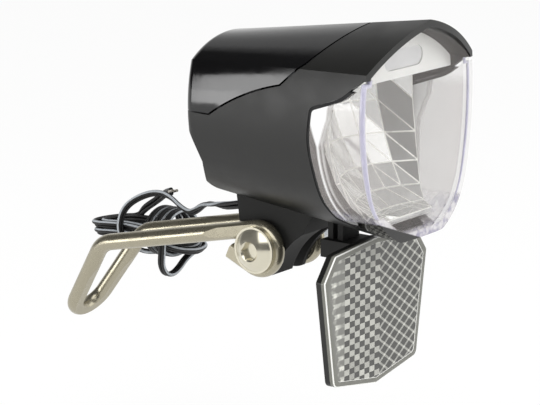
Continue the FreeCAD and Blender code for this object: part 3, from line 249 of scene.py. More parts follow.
# ABS from a finely etched mould: near black, with broad and soft highlights.
housing_black, tree, shader = new_finish("satin_black_abs", "#131311", 0.4, IOR=1.54,
                                        Specular_IOR_Level=HOUSING_SPECULAR)
housing_x, _, housing_z = about_pivot(tree, grained(tree, shader, 0.35, 0.01, 9.0, 0.36, 0.44))
aside = add_node(tree, MATH, [housing_x], operation="ABSOLUTE")
narrow = add_node(tree, MATH, [aside, BOSS_HALF_W], operation="LESS_THAN")
low = add_node(tree, MATH, [housing_z, BOSS_TOP], operation="LESS_THAN")
boss = add_node(tree, MATH, [narrow, low], operation="MULTIPLY")
satin = shader.inputs["Roughness"].links[0].from_socket
etched = add_node(tree, MIX, {0: boss, 2: satin, 3: BOSS_ROUGHNESS})
tree.links.new(etched.outputs[0], shader.inputs["Roughness"])

# Painted shade: faces that look down, high under the visor, get a weaker reflection, so they stay
# dark.
turned = add_node(tree, SPLIT, {"Vector": add_node(tree, "ShaderNodeTexCoord").outputs["Normal"]})
down = add_node(tree, MATH, [turned.outputs["Z"], FACES_DOWN], operation="LESS_THAN")
high = add_node(tree, MATH, [housing_z, VISOR_FROM], operation="GREATER_THAN")
shaded = add_node(tree, MATH, [down, high], operation="MULTIPLY")
gloss = add_node(tree, RANGE, {"Value": shaded, "To Min": HOUSING_SPECULAR,
                               "To Max": VISOR_SHADE_SPECULAR})
tree.links.new(gloss.outputs["Result"], shader.inputs["Specular IOR Level"])
print("housing finish:", len(tree.nodes), "nodes")

# %% [markdown]
# The other plastics need no such masks: each is one colour with its own grain and gloss. The
# cover over the housing's rear is the same ABS from a polished mould, and mirrors the studio.

# %% The other plastics
# ABS from a polished mould: black, with sharp and slightly wavy reflections.
cover_black = plain_finish("gloss_black_abs", "#0a0a0b", 0.1, (2.4, 0.0035, 14.0, 0.07, 0.13),
                           IOR=1.54)

# ABS dyed light grey: it makes the light's face look bright.
fascia_grey = plain_finish("light_grey_abs", "#eff0ed", 0.32, (0.4, 0.006, 8.0, 0.26, 0.38),
                           IOR=1.54)

# Undyed nylon: milky white with a waxy sheen.
ring_white = plain_finish("natural_nylon", "#dfe2e4", 0.45, (0.5, 0.004, 3.0, 0.38, 0.52),
                          IOR=1.53)

# Epoxy moulded round a chip: charcoal and dull.
part_black = plain_finish("moulded_epoxy", "#232324", 0.6, (0.2, 0.01, 2.0, 0.52, 0.66), IOR=1.5)

# Heat-shrunk sleeve: dark blue, tight and shiny.
sleeve_blue = plain_finish("shrink_sleeve", "#1c2440", 0.25, (1.5, 0.006, 3.0, 0.2, 0.32), IOR=1.5)

# Dyed nylon: mid green and satin.
terminal_green = plain_finish("terminal_nylon", "#2f7a48", 0.5, (0.3, 0.006, 2.0, 0.42, 0.56),
                              IOR=1.53)

# Moulded rubber: black, with hardly a highlight.
seal_black = plain_finish("seal_rubber", "#141415", 0.72, (0.25, 0.01, 3.0, 0.62, 0.8), IOR=1.5)
print("plastics mixed:", len(bpy.data.materials))

# %% [markdown]
# ## Clear plastics
#
# The lens is moulded polycarbonate, polished on both faces. Refraction would be the textbook way,
# but its walls are thin and hardly shift what lies behind them, so it is given a low opacity
# instead: light from the lamps reaches the bowl, and the bowl keeps its own reflections. To paint
# it, we need how far forward a point lies, and how far from the seal, whose curve is close to a
# parabola.

# %% Where a point of the lens lies
FLANK_FROM_Y = -47.0
FLANK_FADE = 1.0
RIM_Y = -26.9
RIM_WIDEST_Z = 37.0
RIM_BEND = 0.0077

# Polished polycarbonate: clear, with sharp highlights and a faint warm veil.
lens_clear, tree, shader = new_finish("clear_polycarbonate", "#d6d2d0", 0.04, IOR=1.585,
                                      Alpha=0.13)
where = grained(tree, shader, 3.0, 0.001, 8.0, 0.02, 0.06)
lens_x, lens_y, lens_z = about_pivot(tree, where)
flank = add_node(tree, RANGE, {"Value": lens_y, "From Min": FLANK_FROM_Y,
                               "From Max": FLANK_FROM_Y + FLANK_FADE})
height = add_node(tree, MATH, [lens_z, RIM_WIDEST_Z], operation="SUBTRACT")
bend = add_node(tree, MATH, [height, height], operation="MULTIPLY")
drawn_in = add_node(tree, MATH, [bend, RIM_BEND], operation="MULTIPLY")
rim_y = add_node(tree, MATH, [RIM_Y, drawn_in], operation="SUBTRACT")
from_seal = add_node(tree, MATH, [rim_y, lens_y], operation="SUBTRACT")
print("seal at y", RIM_Y, "mm where it lies furthest back")

# %% [markdown]
# Beside the seal, light leaves the flank's edge as a thin white line, which widens to a patch at
# the top. Here it is a painted highlight, white and nearly opaque. Two distances from the seal,
# each changing with height, say where it starts and ends.

# %% The painted highlight beside the seal
BAND_FROM = 3.4
BAND_FROM_TOP = 1.2
BAND_FROM_RISE = 6.0
BAND_TO = 4.2
BAND_TO_TOP = 6.8
BAND_TO_RISE = 8.0
BAND_WIDENS_Z = 36.0
BAND_FADE = 0.7


def past_edge(below, at_top, over):
    """How far beyond an edge of the band a point is. The edge moves over so many mm of height."""
    edge = add_node(tree, RANGE, {"Value": lens_z, "From Min": BAND_WIDENS_Z,
                                  "From Max": BAND_WIDENS_Z + over, "To Min": below,
                                  "To Max": at_top})
    return add_node(tree, MATH, [from_seal, edge], operation="SUBTRACT")


fade_in = add_node(tree, RANGE, {"Value": past_edge(BAND_FROM, BAND_FROM_TOP, BAND_FROM_RISE),
                                 "From Max": BAND_FADE})
fade_out = add_node(tree, RANGE, {"Value": past_edge(BAND_TO, BAND_TO_TOP, BAND_TO_RISE),
                                  "To Min": 1.0, "To Max": 0.0})
band = add_node(tree, MATH, [fade_in, fade_out], operation="MULTIPLY")
# The band is a painted highlight: it makes the lens white and nearly opaque there.
rim_highlight_band = add_node(tree, MATH, [band, flank], operation="MULTIPLY")
print("band:", BAND_FROM, "to", BAND_TO, "mm from the seal")

# %% [markdown]
# The front's foot is thick and milky along its lower edge, which rises to both sides. The flanks
# carry a thin veil up to the visor. At the lowest left corner the housing's black lip backs the
# lens, so there the finish turns black.

# %% The foot, the veil and the lip
FOOT_Z = 11.0
FOOT_HALF_W = 10.0
FOOT_RISE_W = 8.0
FOOT_SLOPE = 0.745
FOOT_SHARE = 0.78
FOOT_ON_FLANK = 0.2
FOOT_FADE = 0.8
VEIL_TOP = 47.0
VEIL_FADE = 4.0
FRONT_ALPHA = 0.1
FLANK_ALPHA = 0.28
HIGHLIGHT_AND_FOOT_ALPHA = 0.86
CHIN_Z = 8.4
CHIN_SLOPE = 0.364
CHIN_FADE = 0.3

aside = add_node(tree, MATH, [lens_x], operation="ABSOLUTE")
past_foot = add_node(tree, MATH, [aside, FOOT_HALF_W], operation="SUBTRACT")
on_slope = add_node(tree, "ShaderNodeClamp", {"Value": past_foot, "Min": 0.0, "Max": FOOT_RISE_W})
edge_rise = add_node(tree, MATH, [on_slope, FOOT_SLOPE], operation="MULTIPLY")
above_edge = add_node(tree, MATH, [lens_z, edge_rise], operation="SUBTRACT")
foot = add_node(tree, RANGE, {"Value": above_edge, "From Min": FOOT_Z,
                              "From Max": FOOT_Z + FOOT_FADE, "To Min": FOOT_SHARE, "To Max": 0.0})
in_front = add_node(tree, RANGE, {"Value": flank, "To Min": 1.0, "To Max": FOOT_ON_FLANK})
front_foot = add_node(tree, MATH, [foot, in_front], operation="MULTIPLY")
highlight_and_milky_foot = add_node(tree, MATH, [rim_highlight_band, front_foot], operation="MAXIMUM")
below_visor = add_node(tree, RANGE, {"Value": lens_z, "From Min": VEIL_TOP, "To Min": 1.0,
                                     "From Max": VEIL_TOP + VEIL_FADE, "To Max": 0.0})
veil = add_node(tree, MATH, [flank, below_visor], operation="MULTIPLY")
side_alpha = add_node(tree, RANGE, {"Value": veil, "To Min": FRONT_ALPHA, "To Max": FLANK_ALPHA})
see_through = add_node(tree, MIX, {0: highlight_and_milky_foot, 2: side_alpha, 3: HIGHLIGHT_AND_FOOT_ALPHA})
slanting = add_node(tree, MATH, [lens_x, CHIN_SLOPE, lens_z], operation="MULTIPLY_ADD")
chin = add_node(tree, RANGE, {"Value": slanting, "From Min": CHIN_Z,
                              "From Max": CHIN_Z + CHIN_FADE, "To Min": 1.0, "To Max": 0.0})
opacity = add_node(tree, MATH, [see_through, chin], operation="MAXIMUM")
tree.links.new(opacity.outputs[0], shader.inputs["Alpha"])
print("opacity from", FRONT_ALPHA, "to", HIGHLIGHT_AND_FOOT_ALPHA)

# %% [markdown]
# The same masks choose the tints: warm grey for the walls, white for the band's painted highlight,
# and pale violet for the foot, which bends the light like a prism, with streaks of white that are
# painted reflections.

# %% The lens's tints
STREAK_MM = 2.5

# Painted reflection: streaks of white across the foot.
flow = add_node(tree, NOISE, {"Vector": where, "Scale": 1000.0 / STREAK_MM, "Detail": 2.0})
streaks = add_node(tree, RANGE, {"Value": flow, "From Min": 0.4, "From Max": 0.6})
foot_tint = add_node(tree, MIX, {0: streaks, 6: linear("#8683a0"), 7: linear("#e0dee0")},
                     data_type="RGBA")
# White where the painted highlight lies.
body_tint = add_node(tree, MIX, {0: rim_highlight_band, 6: linear("#bcb6b3"), 7: linear("#f2f2f2")},
                     data_type="RGBA")
glass_tint = add_node(tree, MIX, {0: foot, 6: body_tint.outputs[2], 7: foot_tint.outputs[2]},
                      data_type="RGBA")
backed_tint = add_node(tree, MIX, {0: chin, 6: glass_tint.outputs[2], 7: linear("#151514")},
                       data_type="RGBA")
tree.links.new(backed_tint.outputs[2], shader.inputs["Base Color"])
print("lens finish:", len(tree.nodes), "nodes")

# %% [markdown]
# The corners of the lens, the window in the fascia and the light source's resin are clear too,
# but thick or cloudy, so they are opaque or nearly so, with a tint.

# %% The other clear finishes
# The same plastic where it is thick: pale violet in its middle, and a painted highlight of white
# at its sides, where the surface turns away.
corner_clear, tree, shader = new_finish("clear_corner", "#d9d9ea", 0.08, IOR=1.585, Alpha=0.85)
grained(tree, shader, 2.0, 0.004, 4.0, 0.05, 0.14)
# Painted highlight: the tint turns white where the surface turns away.
facing = add_node(tree, "ShaderNodeLayerWeight", {"Blend": 0.45})
tint = add_node(tree, MIX, {0: facing.outputs["Facing"], 6: linear("#b2b0c8"),
                            7: linear("#f1f0fa")}, data_type="RGBA")
tree.links.new(tint.outputs[2], shader.inputs["Base Color"])

# Moulded acrylic: a frosted window, a little cooler than the plate around it.
guide_clear = plain_finish("clear_light_guide", "#f2f3f4", 0.15, (1.0, 0.003, 3.0, 0.1, 0.2),
                           IOR=1.49, Alpha=0.8)

# Phosphor in silicone resin: a small, warm yellow square.
led_yellow = plain_finish("phosphor_resin", "#e6c84a", 0.2, (0.2, 0.002, 1.0, 0.15, 0.25),
                          IOR=1.41)
print("finishes so far:", len(bpy.data.materials))

# %% [markdown]
# ## Metals
#
# A metal has no colour of its own below the surface and tints what it mirrors, so these differ
# in hue and roughness. The bracket, the bolt and the bowl are less than fully metallic: a share
# of scattered light keeps them pale where they mirror the dark side of the room.

# %% Metal finishes
# Satin nickel on drawn steel wire: warm grey, with long and soft highlights.
wire_nickel = plain_finish("satin_nickel", "#a8a28f", 0.25, (0.5, 0.004, 6.0, 0.22, 0.34),
                           Metallic=0.88)

# Polished steel: the bolt's dome shows the studio, a little blurred.
bolt_chrome = plain_finish("polished_steel", "#d4cfbd", 0.2, (1.2, 0.001, 4.0, 0.17, 0.24),
                           Metallic=0.85)

# Bright zinc plate: cooler and duller than the bolt.
zinc_bright = plain_finish("zinc_plate", "#b9bdc1", 0.25, (0.6, 0.003, 3.0, 0.2, 0.34),
                           Metallic=1.0)

# Aluminium from a vacuum coater on moulded plastic: a mirror with a faint milky haze.
bowl_mirror = plain_finish("vacuum_coated_mirror", "#e6e7e5", 0.05, (6.0, 0.0008, 8.0, 0.03, 0.07),
                           Metallic=0.72)

# The same coat on the ridges between the facets, made pale and rough as a painted highlight: thin
# lines that stay bright from any side.
ridge_highlight = plain_finish("mirror_ridge_highlight", "#f6f6f0", 0.3, (1.0, 0.001, 4.0, 0.24, 0.36),
                            Metallic=0.35)

# Die-cast aluminium: pale, matt and a little rough.
sink_alloy = plain_finish("cast_alloy", "#b4b6b8", 0.5, (0.6, 0.02, 5.0, 0.42, 0.6), Metallic=1.0)

# Tinned copper strands: dull silver.
tinned_wire = plain_finish("tinned_copper", "#c2bcb0", 0.4, (0.2, 0.01, 1.0, 0.32, 0.48),
                           Metallic=1.0)

# Green solder mask on a circuit board: smooth lacquer over the copper.
board_green = plain_finish("solder_mask", "#14532e", 0.3, (0.8, 0.01, 4.0, 0.24, 0.4), IOR=1.52)
print("finishes so far:", len(bpy.data.materials))

# %% [markdown]
# ## The cable
#
# The cable is a flat twin: two round cores side by side in a soft black jacket, 2.6 mm wide and
# 1.4 mm thick, with a light grey stripe along one core to tell the two apart. It leaves the boss
# upright, lies over the far arm and ends in a bundle: a high arch, three turns round the waist, a
# loop that hangs below, and long loops in two layers. Its line is one smooth spline through
# control points, so it never shows a kink.

# %% The cable's route
CABLE_W = 2.6
CABLE_T = 1.4
LOOPS_AT = (23.9, 67.2, -10.6)
LOOPS_SLOPE = 0.0986
LOOPS_SAG = 1.5
LOOP_HALF_L = 17.6
LOOPS_LEAN = 7.5
LOOP_HALF_W = 7.3
LOOP_STEP = 2.3
LOOP_WAIST = 0.93
LAYER_STEP = 2.5
LOOP_TURNS = 3.5
WRAP_AT = (23.25, 65.6, -10.1)
WRAP_HALF_W = 9.2
WRAP_HALF_H = 7.2
WRAP_TURNS = 3
WRAP_STEP = 3.2
WRAP_POINTS = 16
WRAP_FIRST = 3
WAIST_HALF_L = 5.0
TIP_DEGREES = 30

GREY_UP = Vector((0, 0, 1))
GREY_ASIDE = Vector((-0.75, 0, 0.65))
GREY_FORWARD = Vector((0, -1, 0))
GREY_LEFT = Vector((-1, 0, 0))

lead = [
    ((3.75, 12.85, 8.3), GREY_UP), ((3.75, 16.65, 8.3), GREY_UP),
    ((4.9, 23.2, 6.6), GREY_UP), ((7.6, 30.2, 5.6), GREY_LEFT),
    ((11.6, 37.0, 4.2), GREY_LEFT), ((15.0, 43.0, 0.6), GREY_ASIDE),
]
arch = [
    ((16.2, 46.6, -1.0), GREY_ASIDE), ((16.4, 50.6, 0.4), GREY_ASIDE),
    ((17.0, 54.2, 2.4), GREY_ASIDE), ((17.4, 58.2, 3.4), GREY_ASIDE),
    ((17.0, 62.6, 3.0), GREY_ASIDE), ((15.6, 67.2, 1.0), GREY_ASIDE),
    ((14.4, 71.0, -2.0), GREY_ASIDE), ((13.9, 73.0, -6.2), GREY_LEFT),
    ((14.0, 73.2, -10.6), GREY_LEFT), ((15.6, 71.2, -14.6), GREY_LEFT),
    ((19.4, 68.6, -17.0), GREY_FORWARD),
]
hanging = [
    ((13.6, 55.8, -14.2), GREY_FORWARD), ((14.0, 56.6, -18.6), GREY_FORWARD),
    ((15.8, 56.6, -21.8), GREY_FORWARD), ((18.6, 56.2, -22.6), GREY_FORWARD),
    ((21.2, 55.6, -21.2), GREY_FORWARD), ((23.6, 54.6, -18.0), GREY_FORWARD),
    ((26.6, 53.0, -15.6), GREY_FORWARD), ((29.4, 51.6, -14.2), GREY_UP),
]
tail = [
    ((27.6, 74.6, -5.6), GREY_UP), ((28.2, 69.6, -2.2), GREY_UP),
    ((25.4, 63.6, 1.4), GREY_UP), ((23.0, 60.4, 2.5), GREY_UP), ((21.5, 58.4, 3.19), GREY_UP),
]
print("points set by hand:", len(lead + arch + hanging + tail))

# %% [markdown]
# The wraps and the loops follow simple rules, so they come from formulas. A wrap is an ellipse
# that moves along as it turns. A long loop has a round tip at each end and is drawn in at its
# waist, each next loop lies one step inside the last, and half way the spiral climbs a layer and
# winds out again. The tips at the rear lean towards the bracket.

# %% Wraps and long loops
def wraps():
    """Turns round the waist of the loops, each one nearer the lamp."""
    found = []
    for i in range(WRAP_FIRST, WRAP_TURNS * WRAP_POINTS + 1):
        angle = 2 * math.pi * i / WRAP_POINTS
        found.append(((WRAP_AT[0] - WRAP_HALF_W * math.cos(angle),
                       WRAP_AT[1] - WRAP_STEP * i / WRAP_POINTS,
                       WRAP_AT[2] - WRAP_HALF_H * math.sin(angle)), GREY_FORWARD))
    return found


def turns_in(turn):
    """How many steps a place on the spiral lies inside the outermost loop."""
    return min(turn, LOOP_TURNS - turn)


def strand_x(turn):
    """How far a long strand lies from the middle line, without the waist."""
    half_w = LOOP_HALF_W - LOOP_STEP * turns_in(turn)
    return -half_w if turn % 1 < 0.5 else half_w


def level_at(turn):
    """The height of a place on the spiral, which climbs a layer half way."""
    climb = min(max(2 * (turn - LOOP_TURNS / 2) + 0.5, 0), 1)
    return LAYER_STEP * (0.5 - climb)


def loops():
    """The long loops, from the lower outer one in to the middle and out again above."""
    found = []
    for half in range(int(2 * LOOP_TURNS), -1, -1):
        tip = half / 2
        rear = 1 if half % 2 == 0 else -1
        reach = LOOP_HALF_L - LOOP_STEP * turns_in(tip)
        before, after = strand_x(tip + 0.25), strand_x(tip - 0.25)
        middle, tip_r = (before + after) / 2, abs(before - after) / 2
        level = level_at(tip)
        first = -90 if half < 2 * LOOP_TURNS else -TIP_DEGREES
        for angle in range(first, 91, TIP_DEGREES):
            turn = math.radians(angle)
            side = -1 if before < after else 1
            x = middle - side * tip_r * math.sin(turn)
            y = rear * (reach - tip_r + tip_r * math.cos(turn))
            found.append((x, y, level))
        if half > 0:
            step = level_at(tip - 0.5) - level
            waist = after * LOOP_WAIST
            found.append((waist, rear * WAIST_HALF_L, level + step * 0.3))
            found.append((waist, -rear * WAIST_HALF_L, level + step * 0.7))
    points = []
    for x, y, level in found:
        z = level + LOOPS_SLOPE * y - LOOPS_SAG * (y / LOOP_HALF_L) ** 2
        lean = LOOPS_LEAN * max(y / LOOP_HALF_L, 0) ** 1.5
        outward = Vector((x / LOOP_HALF_W, y / LOOP_HALF_L, 1.0))
        points.append(((LOOPS_AT[0] + x - lean, LOOPS_AT[1] + y, LOOPS_AT[2] + z), outward))
    return points


route = lead + arch + wraps() + hanging + loops() + tail
print("cable control points:", len(route))

# %% [markdown]
# Blender turns the control points into a smooth spline, and an edge mesh made from it gives the
# points of its line. At each of them we set the cable's cross-section square to the line, with
# the striped core on the side that the route asks for.

# %% The cable's line
SPLINE_STEPS = 8
LEAST_STEP = 0.05


def smooth_line(points, steps):
    """Points along the spline that the control points pull into shape."""
    data = bpy.data.curves.new("cable_line", "CURVE")
    data.dimensions = "3D"
    spline = data.splines.new("NURBS")
    spline.points.add(len(points) - 1)
    for i, point in enumerate(points):
        spline.points[i].co = (*place(*point), 1.0)
    spline.order_u = 3
    spline.use_endpoint_u = True
    spline.resolution_u = steps
    carrier = bpy.data.objects.new("cable_line", data)
    bpy.context.scene.collection.objects.link(carrier)
    mesh = bpy.data.meshes.new_from_object(carrier)
    line = []
    for vertex in mesh.vertices:
        if not line or (vertex.co - line[-1]).length > LEAST_STEP * MM:
            line.append(vertex.co.copy())
    bpy.data.objects.remove(carrier)
    bpy.data.meshes.remove(mesh)
    return line


line = smooth_line([point for point, grey in route], SPLINE_STEPS)
cable_length = sum((line[i] - line[i - 1]).length for i in range(1, len(line)))
print("cable line:", len(line), "points,", round(cable_length, 4), "m")

# %% [markdown]
# A round bevel on the curve would be the quick way, but this cable has two lobes and a striped
# side that must not spin. So we sweep the section ourselves, with one ring of points for each
# point of the line, and a map that says how far round and how far along a point lies.

# %% The cable's section
LOBE_POINTS = 11
LOBE_FROM = -150
LOBE_STEP = 30
SETTLE_PASSES = 14


def twin_section():
    """Outline of two round cores side by side, with the striped core first."""
    core_r = CABLE_T / 2
    reach = CABLE_W / 2 - core_r
    outline = []
    for side in (1, -1):
        for i in range(LOBE_POINTS):
            angle = math.radians(LOBE_FROM + LOBE_STEP * i)
            outline.append((side * (reach + core_r * math.cos(angle)),
                            side * core_r * math.sin(angle)))
    return outline


def cable_frames():
    """For each point of the line, the way to the striped core and the way across it."""
    found = []
    last = len(route) - 1
    for i, here in enumerate(line):
        ahead = line[min(i + 1, len(line) - 1)] - line[max(i - 1, 0)]
        ahead.normalize()
        at = min(max(i / (len(line) - 1) * (last - 1) + 0.5, 0), last)
        low = int(at)
        high = min(low + 1, last)
        wish = route[low][1].lerp(route[high][1], at - low)
        wide = wish - ahead * wish.dot(ahead)
        wide.normalize()
        found.append((wide, ahead.cross(wide)))
    return found


def settled(frames, passes):
    """Evens out the twist from point to point, so that the cable turns over gently."""
    for _ in range(passes):
        evened = []
        for i, (wide, thin) in enumerate(frames):
            near = frames[max(i - 1, 0)][0] + frames[min(i + 1, len(frames) - 1)][0]
            ahead = wide.cross(thin)
            mean = wide + near
            mean = (mean - ahead * mean.dot(ahead)).normalized()
            evened.append((mean, ahead.cross(mean)))
        frames = evened
    return frames


section = twin_section()
frames = settled(cable_frames(), SETTLE_PASSES)
print("section:", len(section), "points; rings:", len(frames))

# %% [markdown]
# Each ring is joined to the next by one face for each point of the section, and a face closes
# each end of the cable.

# %% Join the rings
shape = bmesh.new()
uv_layer = shape.loops.layers.uv.new("jacket")
rings = []
for here, (wide, thin) in zip(line, frames):
    rings.append([shape.verts.new(here + (wide * a + thin * b) * MM) for a, b in section])
count = len(section)
for i in range(len(rings) - 1):
    for j in range(count):
        k = (j + 1) % count
        face = shape.faces.new((rings[i][j], rings[i][k], rings[i + 1][k], rings[i + 1][j]))
        face.smooth = True
        places = ((i, j), (i, j + 1), (i + 1, j + 1), (i + 1, j))
        for corner, (run, turn) in zip(face.loops, places):
            corner[uv_layer].uv = (turn / count, run / len(line))
shape.faces.new(list(reversed(rings[0])))
shape.faces.new(rings[-1])
bmesh.ops.recalc_face_normals(shape, faces=shape.faces)
mesh = bpy.data.meshes.new("twin_cable")
shape.to_mesh(mesh)
shape.free()
cable = bpy.data.objects.new("twin_cable", mesh)
bpy.context.scene.collection.objects.link(cable)
print("cable faces:", len(mesh.polygons))

# %% [markdown]
# The jacket is soft PVC. The stripe follows the cable, so it is read from the cable's own map:
# the first half of the way round is the striped core, and the stripe is the middle of it.

# %% Jacket finish
STRIPE_AT = (LOBE_POINTS - 1) / 2 / len(section)
STRIPE_HALF = 0.042
STRIPE_FADE = 0.01

# Soft PVC: black and satin, with a pale stripe that shows how the cable twists.
jacket, tree, shader = new_finish("pvc_jacket", "#0b0b0c", 0.36, IOR=1.53)
grained(tree, shader, 0.5, 0.006, 5.0, 0.42, 0.54)
around = add_node(tree, "ShaderNodeUVMap", uv_map="jacket")
on_map = add_node(tree, SPLIT, {"Vector": around})
offset = add_node(tree, MATH, [on_map.outputs["X"], STRIPE_AT], operation="SUBTRACT")
distance = add_node(tree, MATH, [offset], operation="ABSOLUTE")
edge = add_node(tree, RANGE, {"Value": distance, "From Min": STRIPE_HALF,
                              "From Max": STRIPE_HALF + STRIPE_FADE, "To Min": 1.0, "To Max": 0.0})
colours = add_node(tree, MIX, {0: edge, 6: linear("#0b0b0c"), 7: linear("#a3a8ad")},
                   data_type="RGBA")
tree.links.new(colours.outputs[2], shader.inputs["Base Color"])
cable.data.materials.append(jacket)
print("stripe is", round(2 * STRIPE_HALF * 100, 1), "percent of the way round")

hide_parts("cable_lead", "cable_hank")
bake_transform(cable)

# %% [markdown]
# ## Pieces made from a solid
#
# Three visible pieces are refined from the shape of their solid: the mirror's facets get rounded
# ridges, the lens gets its light-catching corners, and the retroreflector's plate gets a border
# and its prisms. A solid's mesh is loose triangles, so a copy is merged first, and the flat
# triangles of each face are joined, which leaves the edges that a hand would select.

# %% Copy a solid
MERGE_WITHIN = 0.01


def copy_of(node, name, flat_degrees=1.0):
    """A merged copy of a solid with its flat faces joined, in edit mode, nothing selected."""
    select_only(nodes[node])
    bpy.ops.object.duplicate()
    made = bpy.context.object
    made.name = name
    made.data.name = name
    for key in [k for k in made.keys() if k.startswith("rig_")]:
        del made[key]
    made.parent = None
    made.data.materials.clear()
    select_only(made)
    bpy.ops.mesh.customdata_custom_splitnormals_clear()
    bpy.ops.object.mode_set(mode="EDIT")
    bpy.ops.mesh.select_all(action="SELECT")
    bpy.ops.mesh.remove_doubles(threshold=MERGE_WITHIN * MM)
    bpy.ops.mesh.normals_make_consistent(inside=False)
    bpy.ops.mesh.dissolve_limited(angle_limit=math.radians(flat_degrees))
    bpy.ops.mesh.select_all(action="DESELECT")
    return made


def pick(made, kind, wanted):
    """Selects the faces or edges that a test picks, and returns how many there are."""
    shape = bmesh.from_edit_mesh(made.data)
    bpy.context.tool_settings.mesh_select_mode = (False, kind == "EDGE", kind == "FACE")
    count = 0
    for item in (shape.edges if kind == "EDGE" else shape.faces):
        chosen = wanted(item)
        item.select_set(chosen)
        count += chosen
    shape.select_flush_mode()
    bmesh.update_edit_mesh(made.data)
    return count


print("points nearer than", MERGE_WITHIN, "mm are merged")

# %% [markdown]
# ## The mirror
#
# The bowl is moulded with slightly rounded ridges between its facets, and each ridge catches a
# thin bright line, painted in by a pale finish on the bevel. Fillets on the solid would do, but a
# bevel on a copy keeps the solid simple.

# %% Round the mirror's ridges
RIDGE_W = 0.22
RIDGE_DEGREES = 3
BOWL_FLAT_DEGREES = 0.5

mirror = copy_of("reflector", "mirror_bowl", BOWL_FLAT_DEGREES)
bpy.ops.object.mode_set(mode="OBJECT")
mirror.data.materials.append(bowl_mirror)
mirror.data.materials.append(ridge_highlight)
ridges = mirror.modifiers.new("ridges", "BEVEL")
ridges.width = RIDGE_W * MM
ridges.segments = 2
ridges.limit_method = "ANGLE"
ridges.angle_limit = math.radians(RIDGE_DEGREES)
ridges.harden_normals = True
ridges.material = 1
bpy.ops.object.shade_smooth()
bpy.ops.object.modifier_apply(modifier=ridges.name)
print("ridge faces:", sum(face.material_index == 1 for face in mirror.data.polygons))
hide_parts("reflector")
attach(mirror, "lamp")
print("mirror faces:", len(mirror.data.polygons))

# %% [markdown]
# ## The lens's corners
#
# Where the lens's front turns into its flanks the plastic is thick, and light runs along it. The
# corner's own edges are picked from the lens, made into bars and sunk into its wall.

# %% Make the corner bars
CORNER_BAR_R = 0.85
CORNER_FOOT_Z = 14.0
CORNER_TOP_Z = 56.5
CORNER_DEGREES = 35
FRONT_DEPTH = 4.5
FRONT_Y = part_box("lens")[0].y + FRONT_DEPTH * MM
SLIM_BELOW = 34.0
SLIMMEST = 0.3
FAR_BAR_SHARE = 0.5
BARS_ABOUT = (0, -48, 33)
BARS_SCALE = (0.965, 1, 0.975)
BARS_BACK = 1.0
FACES_FRONT = -0.9


def is_corner(edge):
    """A sharp edge at the front of the lens, below the visor."""
    middle = (edge.verts[0].co + edge.verts[1].co) / 2
    height = (middle.z - PIVOT.z) / MM
    if len(edge.link_faces) != 2 or middle.y > FRONT_Y:
        return False
    if not CORNER_FOOT_Z < height < CORNER_TOP_Z:
        return False
    fronts = [face for face in edge.link_faces if face.normal.y < FACES_FRONT]
    return len(fronts) == 1 and edge.calc_face_angle() > math.radians(CORNER_DEGREES)


corners = copy_of("lens", "lens_corners", 1.0)
print("corner edges:", pick(corners, "EDGE", is_corner))
bpy.ops.mesh.select_all(action="INVERT")
bpy.ops.mesh.delete(type="EDGE")
bpy.ops.object.mode_set(mode="OBJECT")
bpy.ops.object.convert(target="CURVE")
corners.data.bevel_depth = CORNER_BAR_R * MM
corners.data.bevel_resolution = 2
corners.data.use_fill_caps = True
for spline in corners.data.splines:
    for point in spline.points:
        height = (point.co.z - PIVOT.z) / MM
        slim = min(1.0, SLIMMEST + (1 - SLIMMEST) * height / SLIM_BELOW)
        point.radius = slim * (FAR_BAR_SHARE if point.co.x > 0 else 1)
bpy.ops.object.convert(target="MESH")
bpy.ops.object.mode_set(mode="EDIT")
bpy.ops.mesh.select_all(action="SELECT")
bpy.ops.transform.resize(value=BARS_SCALE, center_override=tuple(place(*BARS_ABOUT)))
bpy.ops.transform.translate(value=(0, BARS_BACK * MM, 0))
bpy.ops.object.mode_set(mode="OBJECT")
bpy.ops.object.shade_smooth()
corners.data.materials.append(corner_clear)
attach(corners, "lamp")
print("corner bars faces:", len(corners.data.polygons))

# %% [markdown]
# ## The retroreflector's plate
#
# The plate is clear, with a plain border and hundreds of tiny prisms moulded into its back. In
# the half towards the bolt head they stand in a chequered pattern, and in the other half in
# diamonds. Neighbours face different ways, so from any side some look light and some dark. The
# border is inset on a copy of the plate. The prisms are drawn by its material, because cut as
# real shapes they would take thousands of faces.

# %% Inset the border
RETRO_FACE_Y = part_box("retro_lens")[0].y
BORDER_SHARE = 0.94
BORDER_EDGE = 0.3
RECESS = 0.12
RECESS_DRAFT = 0.995
FRONT_WITHIN = 0.2
FACES_STRAIGHT = -0.99

plate = copy_of("retro_lens", "retro_plate", 1.0)
for i in range(3):
    bpy.ops.object.material_slot_add()
pick(plate, "EDGE",
     lambda edge: all(abs(v.co.y - RETRO_FACE_Y) < FRONT_WITHIN * MM for v in edge.verts))
bpy.ops.mesh.bevel(offset=BORDER_EDGE * MM, segments=2, affect="EDGES")
front = pick(plate, "FACE", lambda face: face.normal.y < FACES_STRAIGHT)
low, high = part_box("retro_lens")
middle = tuple((low + high) / 2)
bpy.ops.mesh.extrude_region_move()
bpy.ops.transform.resize(value=(BORDER_SHARE, 1, BORDER_SHARE), center_override=middle)
bpy.ops.mesh.extrude_region_move(TRANSFORM_OT_translate={"value": (0, RECESS * MM, 0)})
bpy.ops.transform.resize(value=(RECESS_DRAFT, 1, RECESS_DRAFT), center_override=middle)
bpy.ops.object.mode_set(mode="OBJECT")
bpy.ops.object.shade_flat()
print("front faces:", front, "of", len(plate.data.polygons))

# %% [markdown]
# A painted picture of the prisms would blur near by, so their pattern is worked out in
# millimetres. The two fields meet at one upright line. The chequers are light and dark cells in
# columns, and the diamonds are the gaps between two sets of slanted lines.

